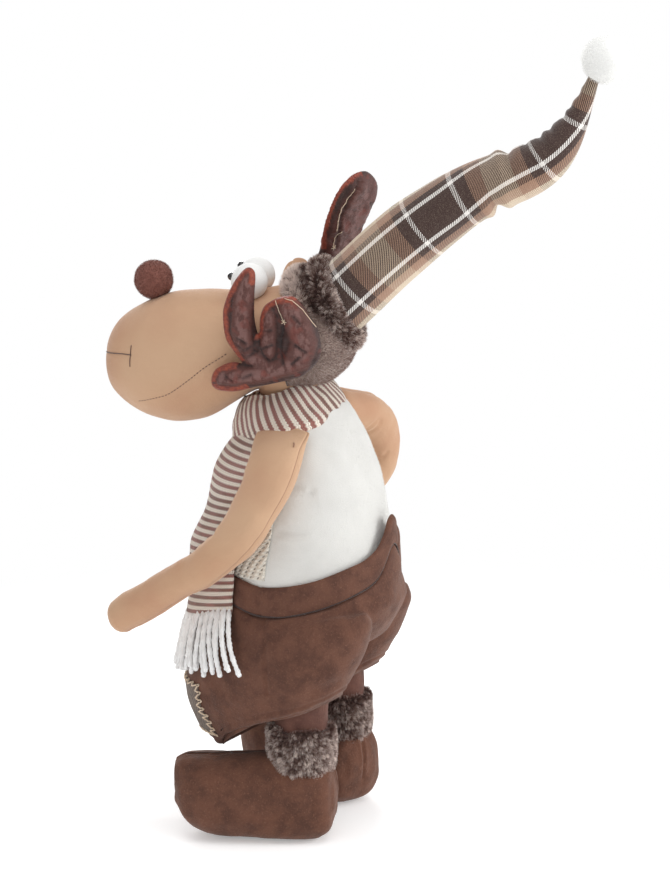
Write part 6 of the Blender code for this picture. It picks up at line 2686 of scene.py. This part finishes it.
    def belt(self, shop: Workshop) -> None:
        """Makes the waistband.

        Args:
            shop: What places the pieces.
        """
        turn = turns(220)
        grow, top = BODY.felt, self.band
        section = eased((
            (0.0004, 0.0008), (0.0004, grow - 0.0002), (0.0010, grow + 0.0007), (0.25 * top, grow + 0.0013),
            (0.6 * top, grow + 0.0009), (0.9 * top, grow + 0.0005), (top, grow - 0.0006), (top, 0.0010),
            (0.5 * top, 0.0008), (0.0004, 0.0008),
        ), 4)
        rings = np.array([self.waist(turn, up, out) for up, out in section])
        seam = hump((turn - math.radians(97) + math.pi) % math.tau - math.pi, 0, 0.016)
        side_seam = hump((turn + math.radians(2) + math.pi) % math.tau - math.pi, 0, 0.014)
        height = 0.0007 * cloud(rings, 0.014, 63) - 0.0016 * (seam + 0.5 * side_seam)[None, :]
        mesh = Skin(rings).raised(height).mesh("felt_waistband", Ends.OPEN)
        shop.place("felt_waistband", mesh, TROUSER_FELT, "body", ["waistband"], "brown_felt", 0.3)
        low = self.waist(turn, 0.0003, grow + 0.0006)
        seam = np.vstack([low, low[:1]])
        shop.sewn("waistband_seams", SEAM_BROWN, "body", "brown_felt", (seam, 0.00050))

    def knee(self, shop: Workshop, tree: BVHTree) -> None:
        """Makes the tweed patch and its zigzag stitches.

        Args:
            shop: What places the pieces.
            tree: The trousers' surface.
        """
        rows, columns = 40, 46
        depth, level = self.patch_at
        points = np.zeros((rows, columns, 3))
        for r, v in enumerate(np.linspace(-0.5, 0.5, rows)):
            for c, u in enumerate(np.linspace(-0.5, 0.5, columns)):
                turn = self.patch_turn + u * self.patch_width / 0.042
                way = np.array([math.cos(turn), math.sin(turn), 0.10])
                middle = np.array([self.leg_x, depth, level + v * self.patch_height])
                hit, normal, _, _ = tree.ray_cast(Vector(middle + way * 0.15), Vector(-way))
                if hit is None:
                    hit, normal, _, _ = tree.find_nearest(Vector(middle + way * 0.066))
                points[r, c] = hit + normal * 0.0012
        inwards = [np.minimum(np.arange(count), np.arange(count)[::-1]) for count in (columns, rows)]
        edge = np.minimum.reduce(np.meshgrid(*inwards))
        normals = Skin(points, wraps=False).normals()
        facing = -1 if normals[..., 1].mean() > 0 else 1
        p = points + normals * facing * (0.0006 * np.minimum(edge / 3, 1))[..., None]
        skin = Skin(p, wraps=False)
        size = skin.cloth()[..., 0].mean(0)[-1], skin.cloth()[..., 1].max()
        mesh = thickened(skin.mesh("tweed_knee"), 0.0012 * facing)
        trees = surface_of(mesh), tree
        piece = shop.place("tweed_knee", mesh, TWEED, "body", ["knee_patch"], "tweed_patch")
        border = []
        for side in (p[:, 0], p[-1], p[::-1, -1], p[0, ::-1]):
            for k, point in enumerate(spaced(side, 15)[:-1]):
                inward = unit(p[rows // 2, columns // 2] - point)
                border.append(point + inward * (0.0026 if k % 2 else -0.0014))
        stitch = spaced(np.array([*border, border[0]]), 900)
        for place in stitch:
            way = unit((place - np.array([self.leg_x, depth, 0])) * [1, 1, 0])
            start = Vector(place + way * 0.05)
            hits = [cloth.ray_cast(start, Vector(-way), 0.08)[3] for cloth in trees]
            place += way * (0.0505 - min([hit for hit in hits if hit is not None] or [0.05]))
        work = Needlework()
        work.add(stitch, 0.00055, plies=2, twist=0.003)
        zigzag = shop.place("zigzag_stitches", work, CREAM_THREAD, "body", slot="tweed_patch")


@dataclass(frozen=True)
class Feet:
    """Legs, felt boots and fur cuffs.

    Attributes:
        toe_out: How far each foot turns out.
        heel: How far behind the leg's middle the heel ends.
        boot: Shares along a boot, of its half width, and of the height of its foot and its top.
    """

    leg_y: float = 0.0015
    leg_radius: float = 0.0205
    toe_out: float = math.radians(20)
    length: float = 0.122
    half_width: float = 0.031
    height: float = 0.066
    heel: float = 0.026
    sole: float = 0.0023
    cuff_radius: float = 0.0268
    cuff_height: float = 0.038
    boot: Rows = (
        (0.0, 0.46, 0.24, 0.76), (0.05, 0.77, 0.07, 0.92), (0.20, 0.92, 0.0, 1.0), (0.45, 0.95, 0.0, 0.98),
        (0.70, 0.99, 0.02, 0.95), (0.84, 0.90, 0.09, 0.95), (0.93, 0.73, 0.20, 0.93),
        (0.985, 0.46, 0.38, 0.87),
    )

    def turned(self, points: np.ndarray, side: int) -> np.ndarray:
        """Points of a straight foot moved to where one of the deer's feet stands.

        Args:
            points: The places, with their coordinates last.
            side: 1 for the left side and -1 for the right.

        Returns:
            The moved points.
        """
        c, s = math.cos(side * self.toe_out), math.sin(side * self.toe_out)
        turn = np.array([[c, -s, 0], [s, c, 0], [0, 0, 1]])
        return points @ turn.T + np.array([side * 0.043, self.leg_y + side * 0.0045, 0])

    def build(self, shop: Workshop) -> None:
        """Makes both feet.

        Args:
            shop: What places the pieces.
        """
        for side, name in SIDES:
            self.boot_piece(shop, side, name)
            leg = stacked(np.linspace(0.050, 0.146, 60), self.leg_radius - 0.0002, 96)
            skin = Skin(self.turned(leg, side))
            skin = skin.raised(0.0005 * cloud(skin.points, 0.010, 71))
            shop.place(f"cloth_leg_{name}", skin, LEG_CLOTH, "body", [f"leg_{name}"], "leg_cloth", 0.8)
            self.cuff(shop, side, name)
            shop.frame["nodes"][f"sole_{name}"].data.materials[0] = SOLE.made()

    def boot_piece(self, shop: Workshop, side: int, name: str) -> None:
        """Makes a boot with its top seam and heel seam.

        Args:
            shop: What places the pieces.
            side: 1 for the left side and -1 for the right.
            name: The side's name.
        """
        along, wide, foot, top = eased(self.boot, 10).T
        y = self.heel - along * self.length
        low, high = foot * self.height, top * self.height
        middle, tall, half = (low + high) / 2, (high - low) / 2, wide * self.half_width
        turn = turns(128)[None, :]
        c, s = np.cos(turn), np.sin(turn)
        square = np.where(s < 0, 0.70, 0.86)
        x = half[:, None] * np.sign(c) * np.abs(c) ** square
        z = middle[:, None] + tall[:, None] * np.sign(s) * np.abs(s) ** square
        rings = np.stack([x, np.broadcast_to(y[:, None], x.shape), z], 2)
        skin = Skin(rounded(rings, 0.55, 8, lead=0.95))
        p = skin.points
        height = 0.0012 * cloud(p, 0.026, 72 + side) + 0.0006 * cloud(p, 0.009, 73)
        seam = hump(p[..., 0], 0, 0.0011) * (p[..., 2] > 0.35 * self.height)
        welt = 0.0005 * hump(np.abs(p[..., 0]), 0.0028, 0.0015) * (p[..., 2] > 0.4 * self.height)
        height = height - 0.0011 * seam + welt
        heel = np.array([(side * 0.0290, 0.0113, z) for z in (0.050, 0.006)])
        height = height - 0.0013 * groove_at(p, heel, 0.0034)
        skin = skin.raised(height)
        skin.points[..., 2] = np.maximum(skin.points[..., 2], self.sole)
        tree = surface_of(skin.mesh("boot_face"))
        skin.points = self.turned(skin.points, side)
        label = f"felt_boot_{name}"
        shop.place(label, skin, BOOT_FELT, "body", [f"boot_{name}"], "boot_felt", 0.6)
        top = laid_on(tree, [(0, -0.022 - 0.003 * k, 0.068) for k in range(23)])
        seam = self.turned(spaced(top, 60), side)
        shop.sewn(f"boot_seams_{name}", SEAM_BROWN, "body", "boot_felt", (seam, 0.00035))

    def cuff(self, shop: Workshop, side: int, name: str) -> None:
        """Makes a fur cuff round the ankle.

        Args:
            shop: What places the pieces.
            side: 1 for the left side and -1 for the right.
            name: The side's name.
        """
        inner, outer = self.leg_radius + 0.0003, self.cuff_radius - 0.0036
        half = self.cuff_height / 2 - 0.0020
        rows = eased((
            (inner, -0.86), (0.5 * (inner + outer), -1.0), (outer - 0.0004, -0.8), (outer + 0.0003, -0.3),
            (outer + 0.0002, 0.2), (outer - 0.0003, 0.7), (0.5 * (inner + outer), 1.0), (inner, 0.9),
        ), 6)
        z = 0.78 * self.height + half + 0.0015 + rows[:, 1] * half
        skin = Skin(self.turned(stacked(z, rows[:, 0], 96), side))
        skin = skin.raised(0.0009 * cloud(skin.points, 0.010, 81))
        label = f"cuff_backing_{name}"
        mesh, nodes = skin.mesh(label, Ends.OPEN), [f"boot_cuff_{name}"]
        shop.place(label, mesh, FUR_GROUND, "body", nodes, "brown_fur", 0.5)
        pile = Pile(52000, 0.0046, 0.00024, -0.35, 0.36, 0.6, 0.0028, pale=0.85)
        shop.furred(
            f"cuff_pile_{name}", skin, pile, FUR, "body",
            tone=lambda row, column, at: 0.14 - 0.14 * step_up(row, 0.55, 0.9) + 0.22 * cloud(at, 0.005, 82),
        )


# the picture


@dataclass(frozen=True)
class Studio:
    """The white backdrop, the lights and the camera.

    Attributes:
        focal: The focal length as a share of the picture's height.
        ambient: The strength of the light from all round.
        floor_near: The distance from the toy at which the floor starts to turn white.
        floor_far: The distance at which it is white.
        lamps: Each lamp's name, place, size and power.
    """

    azimuth: float = math.radians(115)
    elevation: float = math.radians(13)
    distance: float = 2.2
    target: Sequence[float] = (0.004362, -0.017661, 0.2923)
    sensor: float = 36
    focal: float = 2933 / 893
    floor_size: float = 8.0
    ambient: float = 0.52
    floor_near: float = 0.42
    floor_far: float = 0.75
    lamps: Sequence[tuple[str, Sequence[float], float, float]] = (
        ("top", (0.2, 0.2, 1.6), 1.3, 8.5), ("back_left", (-1.2, -0.9, 0.8), 0.9, 15.0),
        ("back_right", (-0.4, 1.5, 0.8), 0.9, 15.0), ("front", (1.9, -0.1, 0.9), 1.6, 4.0),
    )

    def build(self) -> None:
        """Sets up everything that isn't the toy."""
        scene = bpy.context.scene
        scene.view_settings.view_transform = "Standard"
        self.sky(scene)
        self.floor()
        for lamp in self.lamps:
            self.lamp(*lamp)
        data = bpy.data.cameras.new("camera")
        data.sensor_fit, data.sensor_height = "VERTICAL", self.sensor
        data.lens = self.focal * self.sensor
        data.clip_end = 50
        camera = linked("camera", data)
        flat, up = math.cos(self.elevation), math.sin(self.elevation)
        way = Vector((math.sin(self.azimuth) * flat, -math.cos(self.azimuth) * flat, up))
        camera.location = Vector(self.target) + way * self.distance
        camera.rotation_euler = way.to_track_quat("Z", "Y").to_euler()
        scene.camera = camera

    def lamp(self, name: str, at: Sequence[float], size: float, power: float) -> None:
        """Adds a soft square light that faces the toy's middle.

        Args:
            name: Its name.
            at: Its place.
            size: Its side's length.
            power: Its watts.
        """
        data = bpy.data.lights.new(name, "AREA")
        data.size, data.energy = size, power
        light = linked(name, data)
        light.location = at
        light.rotation_euler = (Vector(at) - Vector((0, 0, 0.3))).to_track_quat("Z", "Y").to_euler()

    def sky(self, scene: bpy.types.Scene) -> None:
        """A world that lights softly and looks white to the camera.

        Args:
            scene: The scene.
        """
        world = bpy.data.worlds.new("studio")
        scene.world = world
        world.use_nodes = True
        nodes, links = world.node_tree.nodes, world.node_tree.links
        nodes.clear()
        dim, white = (nodes.new("ShaderNodeBackground") for _ in range(2))
        for light, strength in ((dim, self.ambient), (white, 1.0)):
            light.inputs["Color"].default_value = (1.0, 1.0, 1.0, 1.0)
            light.inputs["Strength"].default_value = strength
        path, mix = nodes.new("ShaderNodeLightPath"), nodes.new("ShaderNodeMixShader")
        out = nodes.new("ShaderNodeOutputWorld")
        links.new(path.outputs["Is Camera Ray"], mix.inputs[0])
        links.new(dim.outputs[0], mix.inputs[1])
        links.new(white.outputs[0], mix.inputs[2])
        links.new(mix.outputs[0], out.inputs["Surface"])

    def floor(self) -> None:
        """A floor that melts into the white but keeps the toy's shadow."""
        half = self.floor_size / 2
        mesh = bpy.data.meshes.new("floor")
        sheet = [(-half, -half, 0), (half, -half, 0), (half, half, 0), (-half, half, 0)]
        mesh.from_pydata(sheet, [], [(0, 1, 2, 3)])
        net = Net("floor_paint")
        net.set(Base_Color=(0.92, 0.92, 0.92), Roughness=1.0, Specular_IOR_Level=0.0)
        net.set(Emission_Color=(1.0, 1.0, 1.0), Emission_Strength=0.30)
        white = net.node("Emission", inputs={"Color": (1.0, 1.0, 1.0), "Strength": 1.0})
        reach = net.node("VectorMath", {"operation": "LENGTH"}, {0: net.place()}, "Value")
        far = reach.eased(self.floor_near, self.floor_far)
        mix = net.node("MixShader", inputs={0: far, 1: Wire(net, net.shader.outputs[0]), 2: white})
        net.tree.links.new(mix.socket, net.tree.nodes["Material Output"].inputs["Surface"])
        mesh.materials.append(net.material)
        linked("floor", mesh)


def main() -> None:
    """Dresses the frame and sets the picture."""
    logging.basicConfig(level=logging.INFO, format="%(name)s %(message)s")
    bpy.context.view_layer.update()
    shop = Workshop(frame, np.random.default_rng(22))
    for assembly in (Torso(), Head(), Antlers(), Hat(), Scarf(), Arms(), Trousers(), Feet()):
        LOG.info("making the %s", type(assembly).__name__.lower())
        assembly.build(shop)
    Studio().build()


if __name__ == "__main__":
    main()
